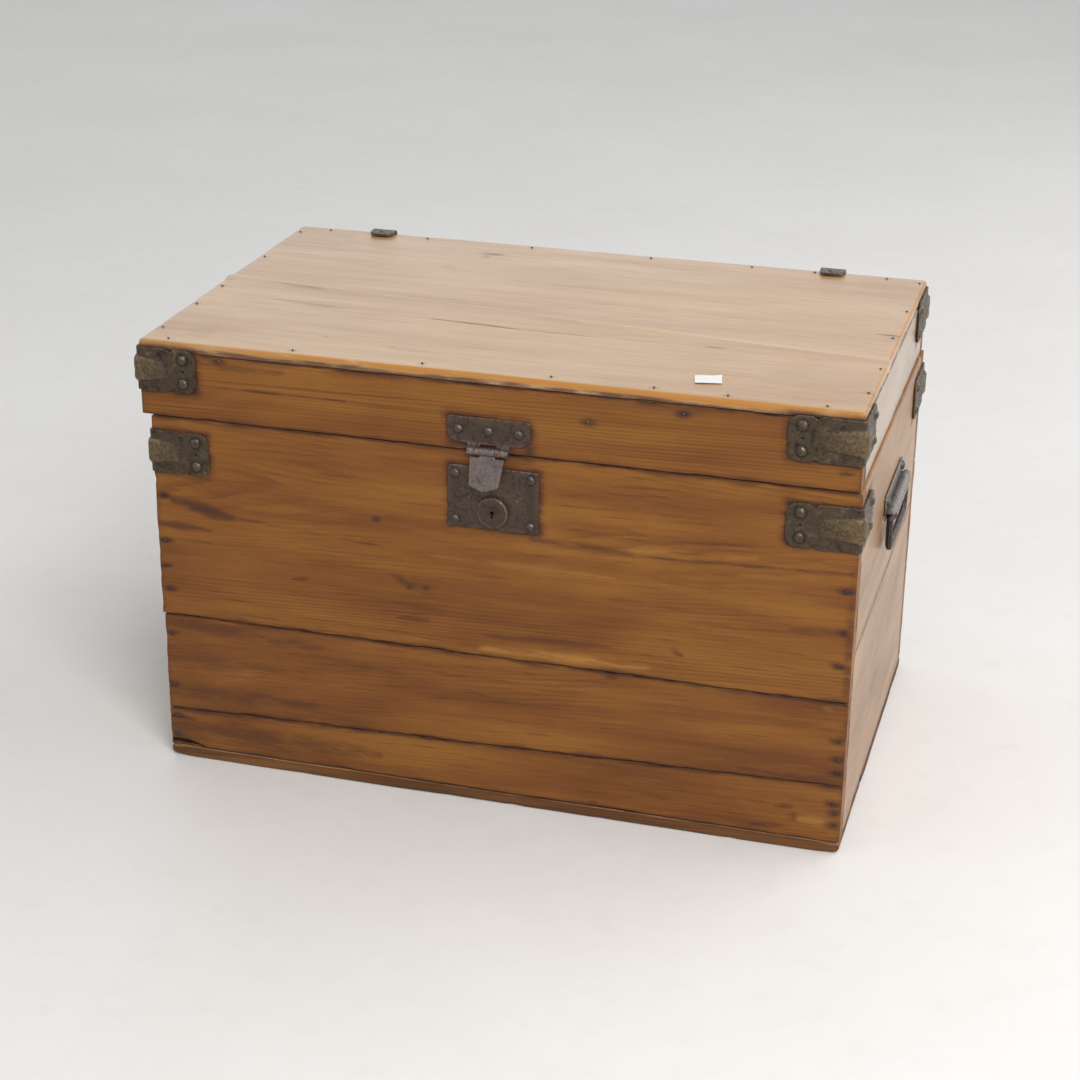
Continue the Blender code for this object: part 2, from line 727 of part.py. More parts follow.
def tongue(hub, bore):
    """The blade hangs a little off the lock, its staple just clear of the slot."""
    swung = hub @ Matrix.Rotation(-TONGUE_REST_TILT, 4, "X")
    wide, narrow = TONGUE_HALF_WIDTH, TONGUE_CORNER_HALF
    outline = rounded([
        (HASP_MIDDLE, 0, 0),
        (-HASP_MIDDLE, 0, 0),
        (-HASP_MIDDLE, -TONGUE_SHOULDER, 0),
        (-wide, -TONGUE_SHOULDER, TONGUE_SHOULDER_ROUND),
        (-narrow, -TONGUE_CORNER, TONGUE_CORNER_ROUND),
        (0, -TONGUE_TIP, TONGUE_TIP_ROUND),
        (narrow, -TONGUE_CORNER, TONGUE_CORNER_ROUND),
        (wide, -TONGUE_SHOULDER, TONGUE_SHOULDER_ROUND),
        (HASP_MIDDLE, -TONGUE_SHOULDER, 0),
    ])
    front = TONGUE_SHEET - TONGUE_BACK
    blade = plate_mesh(outline, -TONGUE_BACK, front)
    obj = part("hasp_tongue", blade, swung, WORN_STEEL)
    ease_edges(obj, TONGUE_SHEET / 5)
    join(obj, "tongue_knuckle", round_bar(HASP_BARREL, -HASP_MIDDLE, HASP_MIDDLE, 16), swung)
    rivet = dome_profile(TONGUE_RIVET_RADIUS, TONGUE_RIVET_HEIGHT, TONGUE_SHEET / 2, 2)
    join(obj, "staple_rivet", turned(rivet, 8), swung @ at(0, -STAPLE_DROP, front))
    half, side = STAPLE_HEIGHT / 2, STAPLE_WIDTH / 2
    root = TONGUE_BACK - TONGUE_SHEET / 2
    loop = rounded([
        (-STAPLE_REACH, half, STAPLE_ROUND),
        (-STAPLE_REACH, -half, STAPLE_ROUND),
        (-root, -half, 0),
        (-root, half, 0),
    ])
    flat_to_side = Matrix(((0, 0, 1, 0), (0, 1, 0, 0), (1, 0, 0, 0), (0, 0, 0, 1)))
    staple = plate_mesh(loop, -side, side)
    staple.transform(flat_to_side)
    staple.flip_normals()
    join(obj, "staple", staple, swung @ at(0, -STAPLE_DROP, 0))
    eye_low, eye_high = staple_eye()
    eye = box_mesh(
        (-STAPLE_WIDTH, -half + STAPLE_BAR, -eye_high), (STAPLE_WIDTH, half - STAPLE_BAR, -eye_low)
    )
    cut(obj, "staple_eye", eye, swung @ at(0, -STAPLE_DROP, 0))
    cut(obj, "tongue_bore", bore, swung)


def staple_eye():
    """How far behind the hasp's axis the staple's eye begins and ends."""
    return HASP_STANDOFF, STAPLE_REACH - STAPLE_BAR


# Lock

def keyhole_mesh(low, high):
    """Round for the key's pipe, with a slot below it for the bit."""
    joint = math.sqrt(KEY_PIPE**2 - KEY_BIT**2)
    start = math.atan2(-joint, KEY_BIT)
    sweep = math.pi - 2 * math.asin(KEY_BIT / KEY_PIPE) + math.pi
    arc = [start + sweep * i / 10 for i in range(11)]
    outline = [(KEY_PIPE * math.cos(a), KEY_PIPE * math.sin(a)) for a in arc]
    outline += [(-KEY_BIT, -KEY_REACH), (KEY_BIT, -KEY_REACH)]
    return plate_mesh(outline, low, high)


def lock(front_top):
    """Plate and boss on the front, case and bolt let into the board behind them."""
    face = at(LOCK_X, FRONT, LOCK_Z) @ LOOKS_FRONT
    surface = FIT + LOCK_SHEET
    boss_face = face @ at(0, -BOSS_DROP, surface)
    x, y = LOCK_LENGTH / 2, LOCK_HEIGHT / 2
    outline = rounded([(i * x, j * y, LOCK_CORNER) for i, j in ((1, 1), (-1, 1), (-1, -1), (1, -1))], 2)
    plate = part("lock_plate", plate_mesh(outline, FIT, surface), face, DARK_IRON)
    ease_edges(plate, LOCK_SHEET / 3)
    for side in (-1, 1):
        rivet = turned(dome_profile(LOCK_RIVET_RADIUS, LOCK_RIVET_HEIGHT, DOME_SUNK, 2), 8)
        join(plate, "lock_rivet", rivet, face @ at(side * LOCK_RIVET_SPACING, 0, surface))
    keyhole = keyhole_mesh(-LOCK_SHEET * 2, BOSS_HEIGHT * 2)
    cut(plate, "plate_keyhole", keyhole, boss_face)
    cut(plate, "staple_slot", staple_slot(surface), face)
    nails = [(i, j) for j in (1, -1) for i in (-1, 1)]
    for number, (i, j) in enumerate(nails, 1):
        spot = at(i * (x - LOCK_NAIL_EDGE), j * (y - LOCK_NAIL_EDGE), surface)
        nail(f"lock_nail_{number}", face @ spot, [plate, front_top])

    rim, dish = BOSS_HEIGHT / 2, BOSS_HEIGHT / 6
    crown = [(BOSS_RADIUS - rim + rim * math.sin(a), BOSS_HEIGHT - rim + rim * math.cos(a))
             for a in (0, math.pi / 6, math.pi / 3, math.pi / 2)]
    inner = BOSS_RADIUS - 1.6 * rim
    profile = [(0, BOSS_HEIGHT - dish), (inner, BOSS_HEIGHT - dish), *crown]
    profile += [(BOSS_RADIUS, FIT), (0, FIT)]
    boss = part("lock_boss", turned(profile, 24), boss_face, DARK_IRON)
    cut(boss, "boss_keyhole", keyhole, boss_face)

    lock_case(face, front_top)
    lock_bolt(face)


def staple_slot(surface):
    """The slot lets the staple swing in on its arc."""
    half = STAPLE_HEIGHT / 2
    low_edge = STAPLE_DROP + half
    dip = math.hypot(STAPLE_REACH, low_edge) - low_edge
    side = STAPLE_WIDTH / 2 + 2 * FIT
    return box_mesh(
        (STAPLE_X - side, STAPLE_Z - half - dip - 2 * FIT, -FIT),
        (STAPLE_X + side, STAPLE_Z + half + 2 * FIT, surface + FIT),
    )


def lock_case(face, front_top):
    """A folded tray, open to the plate, with the bolt's shelf and the key's drill pin."""
    place = face @ at(0, CASE_RISE, 0)
    x, y = CASE_LENGTH / 2, CASE_HEIGHT / 2
    tray = box_mesh((-x, -y, -CASE_DEPTH), (x, y, 0))
    obj = part("lock_case", tray, place, DARK_IRON)
    inner_x, inner_y = x - CASE_SHEET, y - CASE_SHEET
    hollow = box_mesh((-inner_x, -inner_y, CASE_SHEET - CASE_DEPTH), (inner_x, inner_y, FIT))
    cut(obj, "case_hollow", hollow, place)
    shelf_top = STAPLE_Z - BOLT_HEIGHT / 2 - FIT - CASE_RISE
    start = bolt_nose() + BOLT_TAIL_END + FIT
    shelf = box_mesh(
        (start, shelf_top - BOLT_SHELF, CASE_SHEET / 2 - CASE_DEPTH),
        (x - CASE_SHEET / 2, shelf_top, -FIT),
    )
    join(obj, "bolt_shelf", shelf, place)
    pin = drill_mesh(DRILL_PIN, CASE_DEPTH - CASE_SHEET / 2, -FIT)
    join(obj, "drill_pin", pin, face @ at(0, -BOSS_DROP, 0))
    recess = box_mesh((-x - FIT, -y - FIT, -CASE_DEPTH - FIT), (x + FIT, y + FIT, FIT))
    cut(front_top, "lock_recess", recess, place)


def bolt_nose():
    """Nose of the withdrawn bolt, one throw from where it holds the staple."""
    return STAPLE_X - STAPLE_WIDTH / 2 - BOLT_PAST + BOLT_THROW


def lock_bolt(face):
    """A flat bolt with a talon for the key, level with the staple's eye and drawn back from it."""
    eye_low, eye_high = staple_eye()
    middle = HASP_STANDOFF - (eye_low + eye_high) / 2
    place = face @ at(bolt_nose(), STAPLE_Z, middle)
    top, low = BOLT_HEIGHT / 2, -BOLT_HEIGHT / 2
    tail = -BOLT_TAIL_LENGTH
    talon_start = (BOLT_TAIL_START + BOLT_TAIL_END - BOLT_TALON_WIDTH) / 2
    talon_end = talon_start + BOLT_TALON_WIDTH
    outline = rounded([
        (0, top, BOLT_NOSE_ROUND),
        (0, low, BOLT_NOSE_ROUND),
        (BOLT_TAIL_START, low, 0),
        (BOLT_TAIL_START, tail, 0),
        (talon_start, tail, 0),
        (talon_start, tail + BOLT_TALON_DEPTH, 0),
        (talon_end, tail + BOLT_TALON_DEPTH, 0),
        (talon_end, tail, 0),
        (BOLT_TAIL_END, tail, 0),
        (BOLT_TAIL_END, low, 0),
        (BOLT_LENGTH, low, 0),
        (BOLT_LENGTH, top, 0),
    ], 2)
    mesh = plate_mesh(outline, -BOLT_SHEET / 2, BOLT_SHEET / 2)
    part("lock_bolt", mesh, place, WORN_STEEL)


# Hinges

def screw_head(obj, name, place):
    mesh = turned(dome_profile(SCREW_RADIUS, SCREW_HEIGHT, DOME_SUNK, 2), 8)
    join(obj, name, mesh, place)


def hinge_body_leaf(name, hub):
    """The leaf on the back of the case, with the two outer knuckles."""
    back, half = -HINGE_BARREL, HINGE_WIDTH / 2
    split = HINGE_MIDDLE + KNUCKLE_GAP
    window = HINGE_BARREL + 2 * FIT
    outline = rounded([
        (half, 0, 0),
        (split, 0, 0),
        (split, -window, 0),
        (-split, -window, 0),
        (-split, 0, 0),
        (-half, 0, 0),
        (-half, -HINGE_DOWN, HINGE_TIP),
        (half, -HINGE_DOWN, HINGE_TIP),
    ])
    leaf = part(name, plate_mesh(outline, back, back + HINGE_SHEET), hub, DARK_IRON)
    for side, start, end in (("left", -half, -split), ("right", split, half)):
        join(leaf, f"{name}_{side}_knuckle", round_bar(HINGE_BARREL, start, end, 16), hub)
    cut(leaf, f"{name}_bore", hinge_bore(), hub)
    for i, share in enumerate((0.45, 0.82)):
        spot = at(0, -HINGE_DOWN * share, back + HINGE_SHEET)
        screw_head(leaf, f"{name}_screw_{i + 1}", hub @ spot)


def hinge_bore():
    half = HINGE_WIDTH / 2
    return round_bar(HINGE_PIN + PIN_PLAY, -half - FIT, half + FIT, 12)


def hinge_strap():
    """The strap's side view, up the lid's back and bent over its top, given its width."""
    back, front = -HINGE_BARREL, HINGE_SHEET - HINGE_BARREL
    under = LID_FACE + FIT - HINGE_Z
    tip = -HINGE_STANDOFF - HINGE_OVER
    section = rounded([
        (front, 0, 0),
        (front, under + HINGE_SHEET, HINGE_BEND + HINGE_SHEET),
        (tip, under + HINGE_SHEET, 0),
        (tip, under, 0),
        (back, under, HINGE_BEND),
        (back, 0, 0),
    ])
    mesh = plate_mesh(section, -HINGE_WIDTH / 2, HINGE_WIDTH / 2)
    mesh.transform(Matrix.Rotation(-math.pi / 2, 4, "Y"))
    bm = bmesh.new()
    bm.from_mesh(mesh)
    ends = [
        edge for edge in bm.edges
        if all(abs(vert.co.z - tip) < WELD for vert in edge.verts)
        and abs(edge.verts[0].co.x - edge.verts[1].co.x) < WELD
    ]
    bmesh.ops.bevel(bm, geom=ends, offset=HINGE_TIP, segments=3, profile=0.5, affect="EDGES")
    bm.to_mesh(mesh)
    bm.free()
    return mesh


def hinge_lid_leaf(name, hub, axis):
    """The strap on the lid, with the middle knuckle."""
    front = HINGE_SHEET - HINGE_BARREL
    leaf = part(name, hinge_strap(), hub, DARK_IRON, axis)
    outer, foot = HINGE_WIDTH / 2 + FIT, HINGE_BARREL + 2 * FIT
    for side, start, end in (("left", -outer, -HINGE_MIDDLE), ("right", HINGE_MIDDLE, outer)):
        window = box_mesh((start, -foot, -HINGE_STANDOFF), (end, foot, 0))
        cut(leaf, f"{name}_{side}_window", window, hub)
    knuckle = round_bar(HINGE_BARREL, -HINGE_MIDDLE, HINGE_MIDDLE, 16)
    join(leaf, f"{name}_knuckle", knuckle, hub)
    cut(leaf, f"{name}_bore", hinge_bore(), hub)
    rise = LID_FACE - HINGE_Z
    for i, share in enumerate((0.32, 0.72)):
        screw_head(leaf, f"{name}_screw_{i + 1}", hub @ at(0, rise * share, front))
    top = at(0, rise + FIT + HINGE_SHEET, -HINGE_STANDOFF - HINGE_OVER * 0.55)
    screw_head(leaf, f"{name}_top_screw", hub @ top @ Matrix.Rotation(-math.pi / 2, 4, "X"))


def hinges(axis):
    """Seen from behind, so the left hinge is on the box's left as one looks at its front."""
    for side, x in (("left", LID_LEFT + HINGE_INSET), ("right", LID_RIGHT - HINGE_INSET)):
        hub = at(x, BACK + HINGE_STANDOFF, HINGE_Z) @ LOOKS_BACK
        hinge_body_leaf(f"{side}_hinge_body_leaf", hub)
        hinge_lid_leaf(f"{side}_hinge_lid_leaf", hub, axis)
        half = HINGE_WIDTH / 2
        part(f"{side}_hinge_pin", round_bar(HINGE_PIN, -half, half, 10), hub, WORN_STEEL)


# Handles

def handle_plate(name, hub, board_under):
    """A sheet whose lower edge is rolled into a hood, with a mouth at each end for the bail's arms."""
    back = -HANDLE_HOOD
    x, y = HANDLE_LENGTH / 2, HANDLE_RISE
    corners = ((x, 0), (x, y), (-x, y), (-x, 0))
    outline = rounded([(*corner, HANDLE_CORNER) for corner in corners], 3)
    plate = part(name, plate_mesh(outline, back, back + HANDLE_SHEET), hub, DARK_IRON)
    ease_edges(plate, HANDLE_SHEET / 4)
    half = x - HANDLE_HOOD_INSET
    join(plate, f"{name}_hood", round_bar(HANDLE_HOOD, -half, half, 20), hub)
    bore = round_bar(BAIL_ROD + BAIL_PLAY, -x - FIT, x + FIT, 16)
    cut(plate, f"{name}_bore", bore, hub)
    bearing, room, reach = x - HANDLE_MOUTH, BAIL_ROD + BAIL_MOUTH, HANDLE_HOOD + FIT
    for side, start, end in (("left", -x - FIT, -bearing), ("right", bearing, x + FIT)):
        mouth = box_mesh((start, -reach, -room), (end, room, reach))
        cut(plate, f"{name}_{side}_mouth", mouth, hub)
    for number, sign in enumerate((-1, 1), 1):
        spot = at(sign * (x - HANDLE_NAIL_INSET), HANDLE_NAIL_RISE, back + HANDLE_SHEET)
        side = name.split("_")[0]
        nail(f"{side}_handle_nail_{number}", hub @ spot, [plate, board_under])


def bail(name, hub):
    """A closed ring of rod: its upper side turns in the hood, its lower side is the grip."""
    arm = HANDLE_LENGTH / 2 - BAIL_INSET
    elbow = HANDLE_MOUTH - BAIL_INSET - FIT
    path = rounded([
        (arm, 0, elbow),
        (-arm, 0, elbow),
        (-arm, -BAIL_DROP, elbow * 2),
        (arm, -BAIL_DROP, elbow * 2),
    ])
    curve = bpy.data.curves.new(name, "CURVE")
    curve.dimensions = "3D"
    curve.bevel_depth = BAIL_ROD
    curve.bevel_resolution = 2
    spline = curve.splines.new("POLY")
    spline.points.add(len(path) - 1)
    for point, (x, y) in zip(spline.points, path):
        point.co = (x, y, 0, 1)
    spline.use_cyclic_u = True
    guide = bpy.data.objects.new(name, curve)
    CUTTERS.objects.link(guide)
    mesh = baked(guide)
    bpy.data.objects.remove(guide)
    part(name, mesh, hub, DARK_IRON)


def handles(ends):
    sides = (("left", LEFT - HANDLE_STANDOFF, LOOKS_LEFT), ("right", RIGHT + HANDLE_STANDOFF, LOOKS_RIGHT))
    for side, x, turn in sides:
        hub = at(x, HANDLE_Y, RIM_HEIGHT - HANDLE_DROP) @ turn
        handle_plate(f"{side}_handle_plate", hub, ends[side])
        bail(f"{side}_handle_bail", hub)


def build():
    lid_axis = bpy.data.objects.new("lid_axis", None)
    PARTS.objects.link(lid_axis)
    lid_axis.location = (0, BACK + HINGE_STANDOFF, HINGE_Z)
    front_top, ends = case_boards()
    front_rail = lid_boards(lid_axis)
    corner_irons(lid_axis)
    hasp(lid_axis, front_rail)
    lock(front_top)
    hinges(lid_axis)
    handles(ends)


build()
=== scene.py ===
"""Looks of the tack box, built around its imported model: worn pine boards, rusted iron, nails, a blank label.

Units are metres, in the model's own frame: +Z is up and the front faces -Y.
"""

import itertools
import json
import math

import bmesh
import bpy
import numpy as np
from mathutils import Matrix, Vector


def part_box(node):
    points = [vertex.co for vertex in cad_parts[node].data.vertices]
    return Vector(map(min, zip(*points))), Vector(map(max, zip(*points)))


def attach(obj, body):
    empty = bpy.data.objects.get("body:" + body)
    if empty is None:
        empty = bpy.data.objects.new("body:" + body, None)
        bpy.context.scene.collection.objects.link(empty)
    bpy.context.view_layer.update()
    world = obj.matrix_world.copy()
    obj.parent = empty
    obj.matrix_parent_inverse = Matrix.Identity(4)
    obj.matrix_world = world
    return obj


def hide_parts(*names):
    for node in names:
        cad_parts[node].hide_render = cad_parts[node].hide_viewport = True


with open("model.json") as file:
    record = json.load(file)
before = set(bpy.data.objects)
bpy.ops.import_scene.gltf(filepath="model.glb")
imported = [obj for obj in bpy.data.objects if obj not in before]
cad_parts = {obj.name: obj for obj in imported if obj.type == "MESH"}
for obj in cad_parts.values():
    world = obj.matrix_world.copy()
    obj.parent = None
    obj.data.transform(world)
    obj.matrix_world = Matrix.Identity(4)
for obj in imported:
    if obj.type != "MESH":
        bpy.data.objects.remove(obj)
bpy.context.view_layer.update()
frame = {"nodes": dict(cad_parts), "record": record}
RECORD = frame["record"]
NODES = frame["nodes"]
BODY_OF = {node: body for body, members in RECORD["behaviour"]["bodies"].items() for node in members}
SLOT_OF = {row["node"]: row["material_slot"] for row in RECORD["subparts"]}

# Ways that a piece can face
LEFT, RIGHT, FRONT, BACK, UP = (-1, 0, 0), (1, 0, 0), (0, -1, 0), (0, 1, 0), (0, 0, 1)

# Boards
GAP = 0.0003  # between pieces that touch, as in the model
ARRIS = 0.0016  # usual rounding of a board's edges
FRONT_ARRIS = 0.7 * ARRIS  # the front boards are crisper
EDGE_CHIP, FRONT_CHIP = 0.0024, 0.0013  # extra rounding at large chips, and at the front's fine ones
FLOOR_CORNER = 0.0038  # extra rounding at both ends of the foremost bottom board
ROUND_LIMIT = 0.45  # largest rounding, as a share of a board's thickness
TOP_ROUND = 0.0045  # rounding of the lid's upper edges
TOP_SEAM_ROUND = 0.0002
TOP_SEAM_FADE = (0.004, 0.012)  # wear of the lid's edges fades out this near to the seam
TOP_EDGE_WORN = 0.0056  # depth of the rubbed part of the lid's edges
GRID_FINE = 0.0022  # grid across the boards that face the photo
GRID_COARSE = 0.0075  # across the other boards
GRID_ALONG = 0.0045
GRID_EDGE = 0.003  # beside an edge the grid is closer, with lines at shares of this reach
GRID_EDGE_SHARES = (0.0, 0.14, 0.32, 0.58, 1.0, 1.6)
CUPPING, RIPPLE = 0.0006, 0.00025  # depth of broad and of small waves in a face
WAVE_ACROSS, WAVE_ALONG = 0.022, 0.14
GRAIN_LEAN = (0.03, 0.07)  # most that the grain runs out, across and through a board
TONE_SPREAD = 0.25
RAIL_TONE = 0.28  # the lid's front rail is darker by this
DIRT_REACH = 0.0021  # dirt beside a seam
END_GRIME_REACH = 0.005  # grime at a front or back board's ends
DUST_REACH = 0.016  # dust inside, along a board's edges
LOWER_STEP = 0.0015  # the lowest front board is this much shorter at the left
BROKEN_DEPTH = 0.008
BROKEN_CORNER = ((-352, 15, -316, 12, 4.8, 1.0),)  # as FRONT_STAINS
END_SLICE = 0.003  # vertices this near an end give a board's section there
MIDDLE_HEIGHT = 0.23  # tells the outer side of a bottom board from that of a top board
FIRST_SEED, SEED_STEP = 101, 7

# Nails that hold the boards: x and z on the front, heights at the back, x or y on the lid's top
FRONT_NAILS = (
    (0.341, 0.277), (0.341, 0.235), (0.338, 0.201), (0.343, 0.122), (0.343, 0.102), (0.343, 0.088),
    (0.341, 0.054), (0.344, 0.044), (0.343, 0.031), (-0.341, 0.292), (-0.342, 0.243), (-0.340, 0.190),
    (-0.341, 0.140), (-0.342, 0.082), (-0.340, 0.046), (-0.342, 0.024),
)
BACK_NAILS = (0.026, 0.068, 0.108, 0.146, 0.190, 0.232, 0.268, 0.306)
LID_FRONT_NAILS = (-0.331, -0.203, -0.073, 0.053, 0.151, 0.220, 0.311)
LID_RIGHT_NAILS = (-0.162, -0.091, 0.006, 0.097, 0.200)
LID_LEFT_NAILS = (-0.176, -0.095, -0.030, 0.085, 0.190)
LID_FACE_NAILS = ((0.092, 0.416), (0.182, 0.434), (-0.275, 0.438))
BACK_NAIL_INSET = 0.009
LID_NAIL_INSET, LID_RIGHT_INSET, LID_LEFT_INSET = 0.0105, 0.0065, 0.0085
FRONT_STRAY, BACK_STRAY, RIGHT_STRAY = 0.002, 0.012, 0.001  # from the line of nails, on the lid
CASE_NAIL_RADIUS, LID_NAIL_RADIUS = 0.0018, 0.0011
NAIL_HEIGHT, NAIL_SUNK = 0.0004, 0.0008
NAIL_GRID = (3, 10)  # rings and sides
DOME_RADIUS, DOME_HEIGHT = 0.0048, 0.0031
DOME_GRID = (8, 24)
CAP_SEED = 17
CAP_WOBBLE, CAP_LEAN = 0.05, 0.12  # unevenness of a nail's outline and of its top

# Stain round a nail, as its reach on each axis and its strength, and beside ironwork a darkening that is rust
# stain and painted shade
TOP_NAIL_STAIN = ((0.0060, 0.0035, 0.004), 0.40)
SIDE_NAIL_STAIN = ((0.0090, 0.0090, 0.0045), 0.85)
IRON_STAIN_AND_SHADE, IRON_STAIN_AND_SHADE_REACH = 0.75, 0.0045

# Corner irons, as in the model but with a narrower hood
IRON_LONG, IRON_SHORT = 0.069, 0.060
IRON_HEIGHT = 0.043
IRON_SHEET = 0.0012
IRON_CORNER = 0.002
IRON_HEAD = 0.030
IRON_HEAD_ROUND = 0.011
IRON_WAIST_INSET = 0.026
IRON_WAIST, IRON_WAIST_HALF = 0.0026, 0.0055
IRON_BULGE = 0.0027
IRON_HOOD, IRON_CREST = 0.0135, 0.0095
IRON_FADE = ((0, 0.45, 0.85, 1.0), (1.0, 0.66, 0.34, 0.0))  # the hood's rise, by the share of its length
IRON_LENS, IRON_LENS_PLACE = 0.0012, 0.0165  # small raised oval on the hood
IRON_LENS_HALF = (0.0105, 0.0050)
IRON_NAIL_INSET, IRON_NAIL_RISE = 0.0130, 0.0122
IRON_HOLE, DRILL = 0.0017, 0.008  # spare hole, and the length of what cuts it
IRON_RIM, IRON_RIM_BEND = 0.0003, math.radians(50)  # rounding, where the sheet bends by more than this
IRON_SEED_STEP = 31
IRON_ROWS = 29
IRON_HEAD_LINES, IRON_LEAF_LINES, IRON_CORNER_LINES = 9, 34, 6
LUMP, LUMP_SIZE = 0.0005, 0.007  # beaten surface
GRIT, GRIT_SIZE = 0.00035, 0.0028

# Other ironwork, with the width of its worn edges
EDGE_WEAR = {"hasp_plate": 0.0007, "hasp_tongue": 0.0005, "lock_plate": 0.0006, "lock_boss": 0.0004}
PAIR_EDGE_WEAR = {
    "hinge_body_leaf": 0.0006, "hinge_lid_leaf": 0.0006, "handle_plate": 0.0004, "handle_bail": 0.0003,
}
EDGE_BEND = math.radians(35)  # edges that bend by more are worn
HASP_TAB = 0.3865  # below this height the hasp's plate is rubbed bright
WELD = 0.000002  # vertices nearer than this are one
FLAT = math.radians(1)  # faces that bend by less are one

# Blank label on the lid
LABEL_CENTRE = (0.194, -0.171)
LABEL_SIZE = (0.025, 0.021)
LABEL_TURN = math.radians(12)
LABEL_THICK = 0.00016
LABEL_RISE = 0.00002  # off the wood
LABEL_CURL, LABEL_FLAT = 0.0056, 1.55  # a corner lifts where its two shares add up to more
LABEL_LINES = 9

# Floor and light
FLOOR_SIZE, FLOOR_DROP = 30.0, 0.0005
FLOOR_TONES = ((0.3, (0.755, 0.730, 0.698)), (0.7, (0.795, 0.772, 0.745)))
FLOOR_SPECK = (0.55, 0.52, 0.49)
SKY = (0.95, 0.975, 1.0)
SEEN_RAYS = ("Camera", "Glossy", "Transmission")
SKY_LIGHT, SKY_SEEN = 0.60, 1.0  # strength as light, and where it is seen or mirrored
LAMPS = (("key", (1.3, -2.1, 2.4), 1.3, 62.0), ("window", (2.3, 1.3, 1.9), 3.2, 46.0))
LAMP_AIM = Vector((0, 0, 0.25))

# Camera, fitted to the photo
CAMERA_PLACE = Vector((0.5847, -2.1247, 1.1382))
CAMERA_TURN = math.radians(15.74)  # to the left of straight ahead
CAMERA_TILT = math.radians(23.09)  # down from level
CAMERA_ROLL = math.radians(0.59)
CAMERA_SENSOR, CAMERA_LENS = 36.0, 75.69  # millimetres
CAMERA_SHIFT = -1 / 1080


# Repeatable noise

def lattice(cells, seed):
    """A repeatable value from 0 to 1 for each whole-number cell."""
    mixed = cells[..., 0] * 374761393 + cells[..., 1] * 668265263 + cells[..., 2] * 1442695041
    mixed = mixed + seed * 144665459
    mixed = (mixed ^ (mixed >> 13)) * 1274126177
    return ((mixed ^ (mixed >> 16)) & 0xFFFF) / 0xFFFF


def noise(points, size, seed):
    """Smooth noise from 0 to 1 with features of this size, given once or for each axis."""
    scaled = np.asarray(points) / np.asarray(size)
    cell = np.floor(scaled).astype(np.int64)
    share = scaled - cell
    share = share * share * (3 - 2 * share)
    total = np.zeros(len(scaled))
    for corner in itertools.product((0, 1), repeat=3):
        weight = np.prod(np.where(corner, share, 1 - share), axis=-1)
        total += weight * lattice(cell + np.array(corner), seed)
    return total


def ease(values, low, high):
    """0 below low, 1 above high and a smooth step between them."""
    share = np.clip((values - low) / (high - low), 0, 1)
    return share * share * (3 - 2 * share)


# Objects

def add_object(name, data):
    """An object that shows this mesh, lamp or camera."""
    obj = bpy.data.objects.new(name, data)
    bpy.context.scene.collection.objects.link(obj)
    return obj


def flat_mesh(name, points, faces):
    """A mesh with flat faces."""
    mesh = bpy.data.meshes.new(name)
    mesh.from_pydata(np.asarray(points).tolist(), [], faces)
    return mesh


def mesh_from(name, points, faces, attributes=None):
    """A smooth mesh, with values at its points for the material."""
    mesh = flat_mesh(name, points, faces)
    for key, values in (attributes or {}).items():
        add_value(mesh, key, values)
    mesh.shade_smooth()
    return mesh


def finished(name, bm):
    """The mesh of a bmesh, which is freed."""
    mesh = bpy.data.meshes.new(name)
    bm.to_mesh(mesh)
    bm.free()
    return mesh


def modify(obj, kind, **settings):
    """Adds a modifier with these settings."""
    modifier = obj.modifiers.new(kind, kind)
    for key, value in settings.items():
        setattr(modifier, key, value)


def apply_modifiers(obj):
    """Puts the object's finished mesh in the place of its first one."""
    graph = bpy.context.evaluated_depsgraph_get()
    mesh = bpy.data.meshes.new_from_object(obj.evaluated_get(graph))
    obj.modifiers.clear()
    obj.data = mesh


def detail(obj, material, body, slot):
    """An extra piece that the model leaves to the scene."""
    obj.data.materials.clear()
    obj.data.materials.append(material)
    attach(obj, body)


def stand_in(obj, material, node):
    """The object takes the place of this node, on its body."""
    detail(obj, material, BODY_OF[node], SLOT_OF[node])
    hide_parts(node)
    return obj


# Materials

